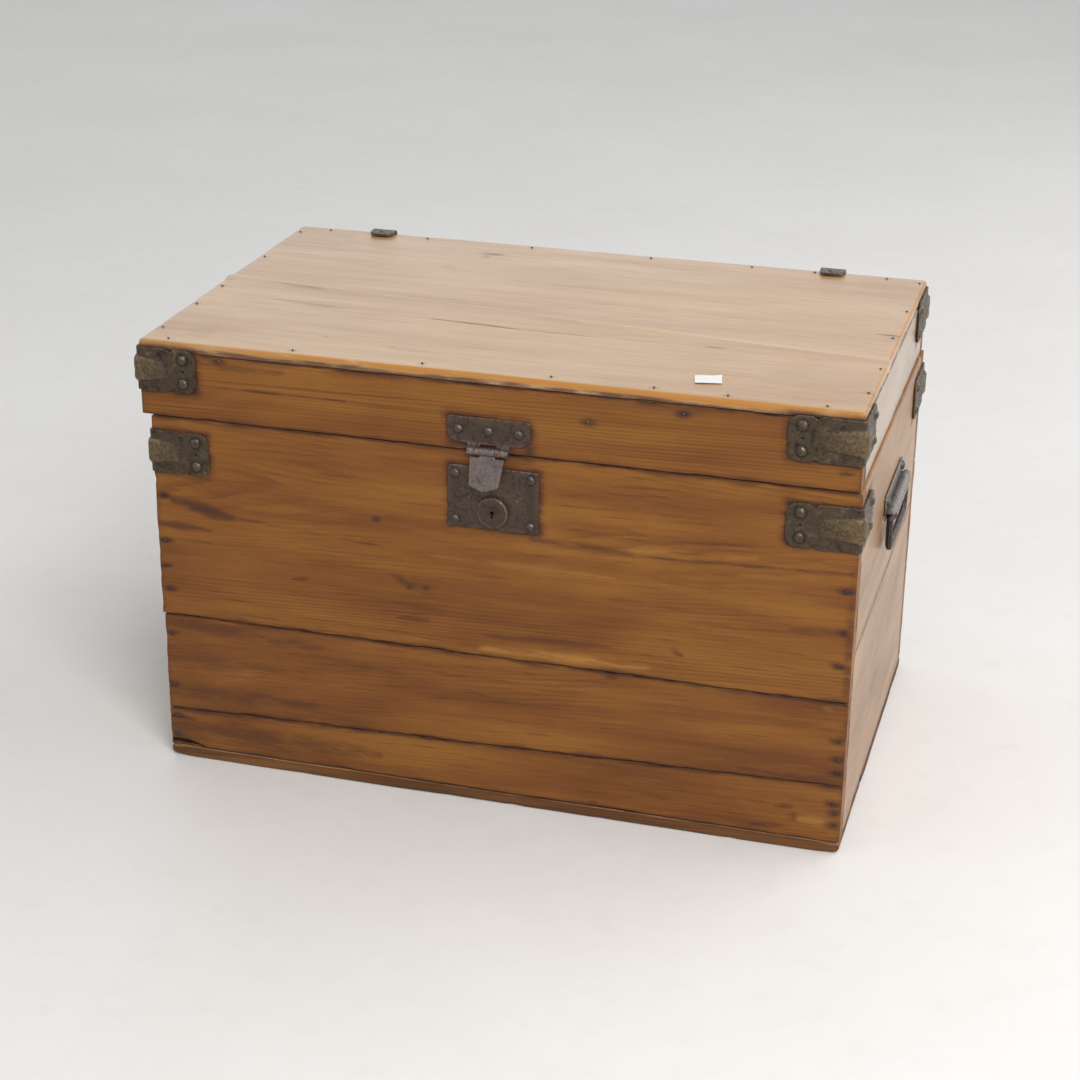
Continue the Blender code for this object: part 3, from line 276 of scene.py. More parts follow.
class Tree:
    """Short calls that add nodes to a material or a world and link them."""

    def __init__(self, owner, shader="Principled BSDF"):
        owner.use_nodes = True
        self.owner = owner
        self.nodes = owner.node_tree.nodes
        self.links = owner.node_tree.links
        self.shader = self.nodes[shader]

    def put(self, socket, value):
        if isinstance(value, bpy.types.NodeSocket):
            self.links.new(value, socket)
        elif socket.type == "RGBA":
            socket.default_value = (*value, 1.0)
        else:
            socket.default_value = value

    def node(self, kind, inputs, output=0, **settings):
        made = self.nodes.new(f"ShaderNode{kind}")
        for key, value in settings.items():
            setattr(made, key, value)
        for key, value in inputs.items():
            self.put(made.inputs[key], value)
        return made.outputs[output]

    def attribute(self, name, output="Fac"):
        return self.node("Attribute", {}, output, attribute_name=name)

    def place(self):
        return self.node("TexCoord", {}, "Object")

    def plus(self, first, second):
        return self.node("Math", {0: first, 1: second}, operation="ADD")

    def times(self, first, second):
        return self.node("Math", {0: first, 1: second}, operation="MULTIPLY")

    def most(self, first, second):
        return self.node("Math", {0: first, 1: second}, operation="MAXIMUM")

    def stretch(self, vector, factors):
        return self.node("VectorMath", {0: vector, 1: factors}, operation="MULTIPLY")

    def noise(self, vector, scale, detail=3.0, roughness=0.55, distortion=0.0):
        inputs = {"Vector": vector, "Scale": scale, "Detail": detail, "Roughness": roughness}
        return self.node("TexNoise", {**inputs, "Distortion": distortion})

    def fit(self, value, low, high, start=0.0, end=1.0):
        inputs = {"Value": value, "From Min": low, "From Max": high, "To Min": start, "To Max": end}
        return self.node("MapRange", inputs, interpolation_type="SMOOTHSTEP")

    def mix(self, share, first, second):
        return self.node("Mix", {0: share, 6: first, 7: second}, 2, data_type="RGBA")

    def cover(self, colour, *layers):
        """The colour under layers, each given as its share and its own colour."""
        for share, layer in layers:
            colour = self.mix(share, colour, layer)
        return colour

    def ramp(self, value, stops):
        made = self.nodes.new("ShaderNodeValToRGB")
        elements = made.color_ramp.elements
        while len(elements) < len(stops):
            elements.new(0.5)
        for element, (position, colour) in zip(elements, stops):
            element.position = position
            element.color = (*colour, 1.0)
        self.put(made.inputs[0], value)
        return made.outputs[0]

    def bump(self, height, distance):
        return self.node("Bump", {"Height": height, "Distance": distance})

    def shade(self, **inputs):
        for name, value in inputs.items():
            self.put(self.shader.inputs[name.replace("_", " ")], value)
        return self.owner


# Pine colours, light, middle and deep: front and back, ends, the lid's right end, waxed top, bottom; the lid's
# right end is paler and greyer as a painted sheen
SIDE_PINE = ((0.262, 0.102, 0.0145), (0.203, 0.071, 0.0105), (0.132, 0.041, 0.0075))
END_PINE = ((0.365, 0.179, 0.0380), (0.283, 0.127, 0.0250), (0.195, 0.080, 0.0160))
# Paler and greyer than the ends: a painted sheen on the lid's right rail
LID_RIGHT_SHEEN_PINE = ((0.370, 0.200, 0.0700), (0.288, 0.146, 0.0490), (0.205, 0.097, 0.0310))
TOP_PINE = ((0.522, 0.308, 0.1300), (0.460, 0.264, 0.1080), (0.390, 0.212, 0.0830))
LOW_PINE = ((0.190, 0.080, 0.0200), (0.140, 0.054, 0.0140), (0.085, 0.031, 0.0090))
BARE = (0.430, 0.175, 0.024)
OCHRE = (0.400, 0.190, 0.040)
RUSSET = (0.090, 0.030, 0.011)
SOOT = (0.022, 0.0115, 0.0075)
INSIDE = ((0.400, 0.235, 0.110), (0.260, 0.135, 0.055))

# Knots: place, radius and how far the dark part runs along the grain
KNOTS = (
    ((0.120, -0.2175, 0.160), 0.006, 1.6),
    ((-0.085, -0.2175, 0.226), 0.004, 1.3),
    ((-0.068, -0.2175, 0.227), 0.004, 1.3),
    ((-0.118, -0.2175, 0.293), 0.004, 1.5),
    ((0.205, 0.2175, 0.190), 0.009, 1.5),
    ((-0.160, 0.2175, 0.310), 0.007, 1.6),
    ((-0.350, 0.070, 0.130), 0.008, 1.5),
)


def knots_in(tree):
    """A mask that is 1 in the middle of a knot and fades out around it."""
    place = tree.place()
    ragged = tree.noise(place, 260.0, 2.0)
    total = None
    for centre, radius, run in KNOTS:
        offset = tree.node("VectorMath", {0: place, 1: centre}, operation="SUBTRACT")
        along = (1 / (radius * run), 1 / radius, 1 / radius)
        reach = tree.node("VectorMath", {0: tree.stretch(offset, along)}, "Value", operation="LENGTH")
        reach = tree.plus(reach, tree.times(ragged, 0.5))
        mask = tree.fit(reach, 0.45, 1.75, 1.0, 0.0)
        total = mask if total is None else tree.most(total, mask)
    return total


def pine(name, palette, line, gloss, coat):
    """Old stained pine: line is the strength of its grain, gloss its roughness, coat its wax."""
    light, middle, deep = palette
    late_wood = tuple(0.5 * channel for channel in deep)
    tree = Tree(bpy.data.materials.new(name))
    grain = tree.attribute("grain", "Vector")

    def figure(along, across, *settings):
        return tree.noise(tree.stretch(grain, (along, across, across)), 1.0, *settings)

    rings = tree.node(
        "TexWave",
        {"Vector": tree.stretch(grain, (0.06, 1.0, 1.0)), "Scale": 92.0, "Distortion": 12.0, "Detail": 4.0,
         "Detail Scale": 0.36, "Detail Roughness": 0.58},
        1, wave_type="RINGS", rings_direction="X", wave_profile="SAW",
    )
    rings = tree.fit(rings, 0.30, 0.97)
    clouds = figure(4.5, 12.0, 3.0, 0.55, 0.5)
    bands = figure(1.7, 44.0, 4.0, 0.6)
    streaks = figure(3.2, 250.0, 4.0, 0.62)
    fibres = figure(45.0, 1500.0, 2.0, 0.6)

    share = tree.plus(tree.times(clouds, 0.75), tree.times(bands, 0.85))
    share = tree.plus(share, tree.times(tree.attribute("tone"), 0.25))
    colour = tree.ramp(tree.fit(share, 0.44, 1.16), ((0.10, light), (0.50, middle), (0.95, deep)))
    uneven = tree.fit(figure(4.0, 25.0, 3.0), 0.40, 0.68, 0.08, 1.0)
    ragged = figure(24.0, 110.0, 4.0, 0.62)
    ochre = tree.times(tree.attribute("pale"), tree.fit(ragged, 0.36, 0.58))
    worn = tree.times(tree.attribute("worn"), tree.fit(ragged, 0.26, 0.46))
    knot = knots_in(tree)
    stain_and_shade = tree.times(tree.attribute("stain_and_shade"), tree.fit(ragged, 0.28, 0.62, 0.35, 1.15))
    stain_and_shade = tree.most(stain_and_shade, tree.times(knot, 0.62))
    colour = tree.cover(
        colour,
        (tree.times(tree.attribute("inner"), 0.8), tree.mix(tree.fit(clouds, 0.3, 0.7), *INSIDE)),
        (tree.times(tree.times(rings, uneven), line), late_wood),
        (tree.fit(streaks, 0.54, 0.72, 0.0, 1.2 * line), late_wood),
        (tree.fit(streaks, 0.42, 0.28, 0.0, 0.45), light),
        (tree.fit(fibres, 0.50, 0.75, 0.0, 0.3), deep),
        (tree.times(ochre, 0.75), OCHRE),
        (tree.times(worn, 0.9), BARE),
        (tree.fit(stain_and_shade, 0.05, 0.55, 0.0, 0.85), RUSSET),
        (tree.fit(stain_and_shade, 0.45, 0.95, 0.0, 0.9), SOOT),
    )

    height = tree.plus(tree.times(fibres, 0.5), tree.times(streaks, 0.7))
    height = tree.plus(height, tree.times(rings, -0.22))
    height = tree.plus(height, tree.times(knot, -0.7))
    dull = tree.plus(tree.plus(clouds, tree.times(fibres, 0.4)), stain_and_shade)
    wax = 0.0
    if coat:
        rubbed_off = tree.most(stain_and_shade, worn)
        wax = tree.fit(rubbed_off, 0.2, 0.8, coat, 0.2 * coat)
    return tree.shade(
        Base_Color=colour, Roughness=tree.fit(dull, 0.4, 1.3, gloss, gloss + 0.25),
        Normal=tree.bump(height, 0.00045), Specular_IOR_Level=0.28, Coat_Roughness=0.22, Coat_Weight=wax,
    )


# Metal colours: dark, middle, warm and bright; bright serves rubbed edges and painted highlights
CORNER_METAL = ((0.018, 0.012, 0.009), (0.067, 0.044, 0.026), (0.142, 0.094, 0.044), (0.250, 0.195, 0.140))
DARK_METAL = ((0.040, 0.027, 0.020), (0.088, 0.055, 0.038), (0.120, 0.069, 0.041), (0.270, 0.225, 0.200))
WORN_METAL = ((0.066, 0.050, 0.043), (0.122, 0.094, 0.083), (0.140, 0.098, 0.078), (0.300, 0.260, 0.240))
NAIL_METAL = ((0.045, 0.036, 0.031), (0.085, 0.067, 0.058), (0.100, 0.070, 0.052), (0.260, 0.235, 0.225))
BAIL_METAL = ((0.028, 0.020, 0.018), (0.052, 0.038, 0.034), (0.072, 0.046, 0.034), (0.170, 0.145, 0.135))
# The handle plates' pale greys are a painted sheen
HANDLE_SHEEN_METAL = ((0.075, 0.066, 0.060), (0.190, 0.170, 0.155), (0.170, 0.135, 0.110), (0.320, 0.300, 0.285))


def metal(name, palette, metallic, rough, mottle=0.8, rubbed_below=None):
    """Old iron, dark in its hollows and with dirt round nails, rubbed bright on edges and below a given
    height; painted highlights where it faces up, on the domes and, with rubbing, on the hood's crest; painted
    shade at the hood's foot and round nails.
    """
    dark, middle, warm, bright = palette
    brass_and_highlight = tuple(1.15 * channel for channel in warm)
    tree = Tree(bpy.data.materials.new(name))
    place = tree.place()
    patches = tree.noise(place, 95.0, 4.0, 0.62, 0.4)
    spots = tree.noise(place, 330.0, 4.0, 0.6)
    pits = tree.noise(place, 1300.0, 2.0, 0.6)
    dome = tree.attribute("dome")
    # Dark in hollows from patina, with painted shade at the hood's foot and dirt with painted shade round
    # nails
    grime_and_shade = tree.most(tree.attribute("hollow"), tree.attribute("ring"))
    grime_and_shade = tree.most(grime_and_shade, tree.attribute("foot"))
    # Painted highlight: faces that look up are mixed towards the bright colour, on top of the rubbed edges
    upward_highlight = tree.node("SeparateXYZ", {0: tree.node("TexCoord", {}, "Normal")}, 2)
    rubbed = tree.most(tree.attribute("edge"), tree.fit(upward_highlight, 0.25, 0.85, 0.0, 0.45))
    if rubbed_below:
        level = tree.node("SeparateXYZ", {0: place}, 2)
        rubbed = tree.most(rubbed, tree.fit(level, rubbed_below, rubbed_below - 0.004, 0.0, 0.55))
    colour = tree.cover(
        tree.ramp(patches, ((0.32, dark), (0.46, middle), (0.58, middle), (0.70, warm))),
        (tree.fit(spots, 0.50, 0.66, 0.0, mottle), dark),
        # The hood's crest turns brassy: rubbed metal with a painted highlight
        (tree.times(tree.attribute("raised"), tree.fit(spots, 0.36, 0.62, 0.95, 0.35)), brass_and_highlight),
        (tree.times(grime_and_shade, 0.85), dark),
        # Domes a little paler: painted highlight
        (tree.times(dome, 0.07), bright),
        (tree.times(rubbed, tree.fit(spots, 0.38, 0.62, 1.0, 0.2)), bright),
    )
    height = tree.plus(tree.times(spots, 0.8), tree.times(pits, 0.35))
    roughness = tree.fit(spots, 0.3, 0.75, rough - 0.12, rough + 0.2)
    roughness = tree.plus(roughness, tree.times(dome, -0.20))
    return tree.shade(
        Base_Color=colour, Roughness=roughness, Metallic=metallic, Normal=tree.bump(height, 0.0006),
    )


def paper(name):
    """Old white paper."""
    tree = Tree(bpy.data.materials.new(name))
    place = tree.place()
    pulp = tree.noise(place, 900.0, 4.0)
    age = tree.noise(place, 160.0, 3.0)
    colour = tree.ramp(age, ((0.3, (0.70, 0.69, 0.66)), (0.7, (0.80, 0.80, 0.78))))
    return tree.shade(Base_Color=colour, Roughness=0.75, Normal=tree.bump(pulp, 0.0001))


# Boards

def board_ends(node):
    """Low and high corners of a board at its left and at its right end, for some boards taper."""
    points = vertex_values(NODES[node].data)[0].astype(float)
    ends = []
    for x in (points[:, 0].min(), points[:, 0].max()):
        near = points[np.abs(points[:, 0] - x) < END_SLICE]
        low, high = near.min(0), near.max(0)
        low[0], high[0] = points[:, 0].min(), points[:, 0].max()
        if node == "front_board_bottom":
            low[0] += LOWER_STEP
        elif node == "lid_top_front":
            high[1] += GAP / 2
        elif node == "lid_top_back":
            low[1] -= GAP / 2
        ends.append((low, high))
    return ends


def ruled(length, step):
    """Places along a length from 0 to 1: close together near both ends, then about a step apart."""
    near = min(GRID_EDGE, length / 4) * np.array(GRID_EDGE_SHARES)
    count = max(2, round((length - 2 * near[-1]) / step) + 1)
    inner = np.linspace(near[-1], length - near[-1], count)
    return np.concatenate((near[:-1], inner, length - near[-2::-1])) / length


def shell(lines):
    """Points and outward quads of a closed box whose sides are ruled at these lines."""
    counts = tuple(len(line) for line in lines)
    places = np.indices(counts)
    last = np.array(counts).reshape(3, 1, 1, 1) - 1
    skin = ((places == 0) | (places == last)).any(0)
    index = np.full(counts, -1)
    index[skin] = np.arange(skin.sum())
    points = np.stack([line[place[skin]] for line, place in zip(lines, places)], axis=-1)
    faces = []
    for axis in range(3):
        for side in (0, -1):
            sheet = np.take(index, side, axis=axis)
            corners = (sheet[:-1, :-1], sheet[1:, :-1], sheet[1:, 1:], sheet[:-1, 1:])
            quads = np.stack(corners, axis=-1).reshape(-1, 4)
            outward = (side == -1) != (axis == 1)
            faces.append(quads if outward else quads[:, ::-1])
    return points, np.concatenate(faces).tolist()


# Old marks on the front: lines from x, z to x, z and their reach, in millimetres, and their strength
MM_PER_M = 1000
FRONT_STAINS = (
    (-332, 287, -270, 276, 8.5, 0.66),
    (-350, 261, -292, 259, 4.5, 0.50),
    (-352, 214, -337, 216, 3.5, 0.75),
    (-285, 278, -109, 265, 2.2, 0.50),
    (-208, 218, -189, 220, 2.2, 0.65),
    (-97, 192, -62, 192, 3.2, 0.45),
    (-104, 238, -86, 229, 5, 0.50),
    (-92, 228, -60, 229, 7.5, 0.36),
    (-10, 184, 118, 190, 5.2, 0.42),
    (36, 292, 138, 288, 5.5, 0.48),
    (124, 303, 287, 314, 1.9, 0.48),
    (138, 287, 346, 295, 2.2, 0.58),
    (290, 232, 345, 234, 5.5, 0.42),
    (178, 196, 189, 189, 3.5, 0.50),
    (250, 79, 349, 78, 5.5, 0.50),
    (101, 17, 107, 17, 3.2, 0.70),
    (287, 44, 304, 45, 3, 0.65),
    (303, 40, 304, 31, 4, 0.40),
    (262, 20, 295, 22, 3, 0.65),
    (-352, 154, -180, 146, 12, 0.42),
    (-352, 110, -220, 112, 16, 0.30),
    (-352, 76, -190, 80, 15, 0.42),
    (-352, 36, -120, 34, 15, 0.40),
    (-352, 45, -320, 45, 3, 0.95),
    (-352, 30, -280, 30, 10, 0.35),
    (-300, 411, -145, 411, 2, 0.55),
    (-300, 432, -210, 432, 7, 0.35),
    (326, 393, 338, 393, 4, 0.65),
    (346, 300, 346, 170, 5, 0.40),
)
FRONT_OCHRES = (
    (-10, 170, 154, 173, 5, 1.0),
    (329, 156, 351, 154, 4.5, 1.0),
    (308, 33, 349, 32, 5, 0.7),
    (136, 293, 256, 299, 2.2, 0.6),
    (-60, 262, 120, 262, 3, 0.4),
)
# The same on the top, from x, y to x, y
TOP_STAINS = (
    (-283, -56, -205, -65, 6.5, 0.27),
    (-110, -70, -18, -77, 2.6, 0.50),
    (-20, -77, 55, -78, 1.8, 0.45),
    (-300, 0, -245, -10, 8, 0.27),
    (-170, 110, -140, 108, 5, 0.30),
    (170, -74, 190, -74, 2.8, 0.45),
    (325, 15, 349, 15, 2.8, 0.60),
    (-208, -146, -206, -146, 2.2, 0.55),
    (-190, -157, -187, -157, 2.2, 0.55),
    (-118, -169, -116, -169, 2.6, 0.55),
    (-356, -5, -348, -5, 2.4, 0.50),
    (-130, -168, -60, -172, 6, 0.22),
    (30, 30, 230, 24, 12, 0.16),
    (-60, 190, 200, 186, 10, 0.16),
    (-136, 170, -108, 170, 5, 0.50),
    (-124, 170, -122, 148, 4.5, 0.35),
)
# The same on the lid's right side, from y, z to y, z: dirt and painted shade where its front joint has opened
SIDE_STAINS_AND_SHADE = ((-196, 372, -196, 404, 6.5, 0.95),)


def streaks_at(flat, marks):
    """How strongly old marks show at points of a flat face. Each is widest halfway along its line."""
    total = np.zeros(len(flat))
    for *ends, reach, strength in marks:
        start, end = np.reshape(ends, (2, 2)) / MM_PER_M
        run = end - start
        share = np.clip((flat - start) @ run / (run @ run), 0, 1)
        away = np.linalg.norm(flat - start - share[:, None] * run, axis=1)
        width = reach / MM_PER_M * (0.45 + 0.55 * np.sin(np.pi * share))
        total = np.maximum(total, strength * np.exp(-(away / width) ** 2))
    return total


def stain_and_shade_at(points, nails, irons):
    """How dark the wood is stained round nails, and stained and given painted shade beside the ironwork."""
    total = np.zeros(len(points))
    for place, way in nails:
        reach, strength = TOP_NAIL_STAIN if way[2] else SIDE_NAIL_STAIN
        away = (points - np.array(place)) / reach
        total = np.maximum(total, strength * np.exp(-(away ** 2).sum(1)))
    # Rust stain and painted shade beside the ironwork
    for low, high in irons:
        outside = np.maximum(np.maximum(np.array(low) - points, points - np.array(high)), 0)
        away = np.sqrt((outside ** 2).sum(1))
        total = np.maximum(total, IRON_STAIN_AND_SHADE * np.exp(-away / IRON_STAIN_AND_SHADE_REACH))
    return total


class Board:
    """A worn board: its mesh, and the marks on it that its material reads."""

    def __init__(self, node, seed):
        self.node, self.seed = node, seed
        self.is_top = node.startswith("lid_top")
        self.is_front = node.startswith(("front", "lid_front"))
        (low_left, high_left), (low_right, high_right) = board_ends(node)
        size = (high_left - low_left + high_right - low_right) / 2
        self.depth, self.across, self.along = np.argsort(size)
        steps = np.full(3, GRID_COARSE)
        steps[self.along] = GRID_ALONG
        if self.is_front or self.is_top:
            steps[self.across] = GRID_FINE
        share, self.faces = shell([ruled(length, step) for length, step in zip(size, steps)])
        left_to_right = share[:, :1]
        self.low = low_left + (low_right - low_left) * left_to_right
        self.high = high_left + (high_right - high_left) * left_to_right
        self.points = self.low + (self.high - self.low) * share
        self.gap = np.minimum(self.points - self.low, self.high - self.points)

        radius = self.edge_radius()[:, None]
        inner = np.clip(self.points, self.low + radius, self.high - radius)
        self.normal = self.points - inner
        self.normal /= np.linalg.norm(self.normal, axis=1, keepdims=True)
        self.placed = inner + self.normal * radius - self.normal * self.dips()[:, None]

    def noise(self, size, step):
        return noise(self.points, size, self.seed + step)

    def from_seam(self):
        """How far each point of a lid's top board is from the seam of the two."""
        return (self.high - self.points if self.node == "lid_top_front" else self.points - self.low)[:, 1]

    def off_seam(self):
        """0 at the seam of the lid's top boards and 1 away from it."""
        return ease(self.from_seam(), *TOP_SEAM_FADE)

    def edge_radius(self):
        """Rounding of the edges near each point: uneven from wear, with a few larger chips."""
        height, top = self.points[:, 2], self.high[:, 2]
        crisp = self.node.startswith("front")
        radius = (FRONT_ARRIS if crisp else ARRIS) * (0.45 + 1.1 * self.noise(0.032, 0))
        radius += EDGE_CHIP * ease(self.noise(0.022, 1), 0.68, 0.92)
        if crisp:
            radius += FRONT_CHIP * ease(self.noise(0.009, 6), 0.45, 0.90)
        if self.is_top:
            outer = self.off_seam()
            radius += (TOP_ROUND - ARRIS) * ease(height, top - 0.007, top - 0.004) * outer
            radius = radius * outer + TOP_SEAM_ROUND * (1 - outer)
        if self.node == "bottom_board_1":
            radius += FLOOR_CORNER * ease(np.abs(self.points[:, 0]), 0.325, 0.345)
        return np.minimum(radius, ROUND_LIMIT * (self.high - self.low).min(1))

    def dips(self):
        """Depth of the shallow waves in the board's faces."""
        waves = np.full(3, WAVE_ACROSS)
        waves[self.along] = WAVE_ALONG
        dip = CUPPING * self.noise(waves, 2) + RIPPLE * self.noise(waves / 4, 3)
        if self.is_top:
            dip *= ease(self.from_seam(), 0.0, 0.010)
        return dip

    def grain(self, draw):
        """Each point's place in the tree: along the trunk, and two ways out from its heart."""
        order = [self.along, self.across, self.depth]
        grain = self.placed[:, order] - self.placed.mean(0)[order]
        grain[:, 1:] += grain[:, :1] * (draw.uniform(-1, 1, 2) * GRAIN_LEAN)
        sideways = draw.choice((-1, 1)) * draw.uniform(0.02, 0.16)
        return grain + (draw.uniform(-3, 3), sideways, draw.uniform(0.03, 0.08))

    def rounded(self):
        """1 on the rounded edges and 0 on the faces."""
        return ease(1 - np.abs(self.normal).max(1), 0.02, 0.20)

    def facing_front(self):
        """1 on the front face and 0 on the others."""
        return ease(-self.normal[:, 1], 0.3, 0.8)

    def top_upper(self):
        """1 on the rubbed upper part of the lid's edges, with an uneven lower limit."""
        below = self.high[:, 2] - self.points[:, 2] + 0.0030 * (noise(self.points, 0.045, 9) - 0.5)
        return 1 - ease(below, TOP_EDGE_WORN - 0.0018, TOP_EDGE_WORN + 0.0012)

    def worn(self):
        """Where the lid's edges are rubbed to bare wood, less so at the left."""
        if not self.is_top:
            return np.zeros(len(self.placed))
        edge = np.maximum(self.rounded(), ease(np.abs(self.normal[:, 1]), 0.35, 0.8))
        less_at_left = 0.6 + 0.4 * ease(self.points[:, 0], -0.30, -0.15)
        return edge * self.off_seam() * self.top_upper() * less_at_left

    def pale(self):
        """Ochre streaks on the front."""
        if not self.is_front:
            return np.zeros(len(self.placed))
        return streaks_at(self.placed[:, ::2], FRONT_OCHRES) * self.facing_front()

    def dirt_and_shade(self):
        """Dirt along the edges, by the kind of board, and the old marks, with painted shade where the lid's
        right rail's front joint has opened.
        """
        node, placed, height, top = self.node, self.placed, self.points[:, 2], self.high[:, 2]
        if self.is_top:
            open_seam = ease(noise(self.points, 0.09, 5), 0.35, 0.75)
            in_seam = 0.15 * open_seam * np.exp(-self.from_seam() / TOP_SEAM_ROUND)
            under = 0.52 * (1 - self.top_upper()) * self.off_seam()
            marks = streaks_at(placed[:, :2], TOP_STAINS) * ease(self.normal[:, 2], 0.5, 0.9)
            return np.maximum(np.maximum(in_seam, under), marks)
        if node.startswith("bottom"):
            return 0.9 * np.exp(-(top - height) / DIRT_REACH) + 0.3 * self.rounded()
        reach = DIRT_REACH * (0.5 + 1.6 * self.noise(0.024, 4))
        at_side = np.exp(-self.gap[:, self.across] / reach)
        if "_end_" in node or node in ("lid_left_rail", "lid_right_rail"):
            dirt_and_shade = 0.55 * np.maximum(at_side, np.exp(-self.gap[:, self.along] / reach))
            if node == "lid_right_rail":
                # Dirt and painted shade in the opened front joint
                dirt_and_shade = np.maximum(dirt_and_shade, streaks_at(placed[:, 1:], SIDE_STAINS_AND_SHADE))
            if node.endswith("_end_top"):
                dirt_and_shade *= 1 - 0.65 * ease(height, top - 0.006, top - 0.002)
            return dirt_and_shade
        dirt_and_shade = np.maximum(0.9 * at_side, 0.45 * np.exp(-self.gap[:, self.along] / END_GRIME_REACH))
        if self.is_front:
            dirt_and_shade = np.maximum(dirt_and_shade, streaks_at(placed[:, ::2], FRONT_STAINS) * self.facing_front())
        if node == "lid_front_rail":
            band = (0.25 + 0.75 * noise(self.points, 0.05, 12)) * np.exp(-self.gap[:, 2] / 0.008)
            dirt_and_shade = np.maximum(dirt_and_shade, 0.7 * band * (placed[:, 2] > placed[:, 2].mean()))
        return dirt_and_shade

    def marks(self, nails, irons):
        """Grain, tone, inner side, stains with painted shade, worn and pale parts, for the material."""
        node, normal = self.node, self.normal
        draw = np.random.default_rng(self.seed)
        grain = self.grain(draw)
        tone = draw.uniform(-TONE_SPREAD, TONE_SPREAD) + (RAIL_TONE if node == "lid_front_rail" else 0.0)
        centre = (self.low.min(0) + self.high.max(0)) / 2 - (0, 0, MIDDLE_HEIGHT)
        outward = normal[:, self.depth] * np.sign(centre[self.depth])
        inner = ease(-outward, 0.3, 0.7)
        edges = self.gap[:, [self.across, self.along]].min(1)
        dust = 0.4 * self.noise(0.05, 8) * np.exp(-edges / DUST_REACH) * inner
        if node.startswith("bottom"):
            stain_and_shade = self.dirt_and_shade() * (1 - inner) + dust
        else:
            outside = ease(outward, -0.8, -0.3) if self.is_top else ease(outward, -0.05, 0.5)
            stain_and_shade = np.maximum(stain_and_shade_at(self.placed, nails, irons), self.dirt_and_shade()) * outside + dust
            if not self.is_top:
                inner = np.maximum(inner, 0.5 * ease(np.abs(normal[:, self.across]), 0.8, 0.98))
        if node == "front_board_bottom":
            stain_and_shade = np.maximum(stain_and_shade, ease(self.broken(), 0.1, 0.5))
        return {
            "grain": grain, "tone": np.full(len(self.placed), tone), "inner": inner, "stain_and_shade": stain_and_shade,
            "worn": self.worn(), "pale": self.pale(),
        }

    def broken(self):
        """How deep the lowest front board is broken at its corner, from 0 to 1."""
        return streaks_at(self.placed[:, ::2], BROKEN_CORNER) * ease(-self.normal[:, 1], 0.1, 0.5)


def timber(node, seed, nails, irons, material):
    """One worn board in place of its node."""
    board = Board(node, seed)
    values = board.marks(nails, irons)
    if node == "front_board_bottom":
        board.placed[:, 1] += BROKEN_DEPTH * board.broken()
    mesh = mesh_from(f"{node}_timber", board.placed, board.faces, values)
    return stand_in(add_object(f"{node}_timber", mesh), material, node)


def lock_recess(board):
    """Lets the lock's case into the board, so that the bolt and the staple have room."""
    low, high = np.array(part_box("lock_case"))
    low, high = low - GAP, high + GAP
    low[1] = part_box("front_board_top")[0].y - ARRIS
    share, faces = shell([np.array((0.0, 1.0))] * 3)
    cutter = add_object("recess", flat_mesh("recess", low + (high - low) * share, faces))
    modify(board, "BOOLEAN", operation="DIFFERENCE", object=cutter)
    apply_modifiers(board)
    bpy.data.objects.remove(cutter)


# Nails

def board_nails():
    """(place, way it faces) of the nails that hold the boards, for the case and for the lid."""
    low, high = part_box("front_board_top")
    front, back = low.y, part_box("back_board_top")[1].y
    case = [((x, front, z), FRONT) for x, z in FRONT_NAILS]
    for z in BACK_NAILS:
        for x in (low.x + BACK_NAIL_INSET, high.x - BACK_NAIL_INSET):
            case.append(((x, back, z), BACK))
    lid = []
    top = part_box("lid_top_front")[1].z
    rail_low, rail_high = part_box("lid_front_rail")
    for number, x in enumerate(LID_FRONT_NAILS):
        lid.append(((x, front + LID_NAIL_INSET + FRONT_STRAY * math.sin(7 * number), top), UP))
        lid.append(((x + BACK_STRAY * math.sin(5 * number + 1), back - LID_NAIL_INSET, top), UP))
    for number, y in enumerate(LID_RIGHT_NAILS):
        lid.append(((rail_high.x - LID_RIGHT_INSET - RIGHT_STRAY * math.sin(4 * number), y, top), UP))
    for y in LID_LEFT_NAILS:
        lid.append(((rail_low.x + LID_LEFT_INSET, y, top), UP))
    lid += [((x, front, z), FRONT) for x, z in LID_FACE_NAILS]
    return case, lid


def facing(place, way):
    """A frame at the place whose z looks the given way."""
    turn = Vector(UP).rotation_difference(Vector(way)).to_matrix().to_4x4()
    return Matrix.Translation(place) @ turn


def cap(radius, height, rings, sides, seed):
    """Points and faces of a low dome on z = 0, a little dented."""
    draw = np.random.default_rng(seed)
    points, faces = [(0, 0, height)], []
    wobble = 1 + CAP_WOBBLE * draw.standard_normal(sides)
    lean = draw.uniform(-CAP_LEAN, CAP_LEAN, 2)
    for ring in range(1, rings + 1):
        turn = math.pi / 2 * ring / rings
        out, up = math.sin(turn), math.cos(turn)
        for side in range(sides):
            angle = 2 * math.pi * side / sides
            reach = radius * out * (1 + (wobble[side] - 1) * out)
            x, y = reach * math.cos(angle), reach * math.sin(angle)
            points.append((x, y, height * up + lean[0] * x * up + lean[1] * y * up))
    foot = len(points)
    points += [(x, y, -NAIL_SUNK) for x, y, _ in points[-sides:]]
    points.append((0, 0, -NAIL_SUNK))
    for side in range(sides):
        after = (side + 1) % sides
        faces.append((0, 1 + side, 1 + after))
        for ring in range(rings):
            near = 1 + ring * sides
            faces.append((near + side, near + sides + side, near + sides + after, near + after))
        faces.append((foot + side, len(points) - 1, foot + after))
    return np.array(points), faces


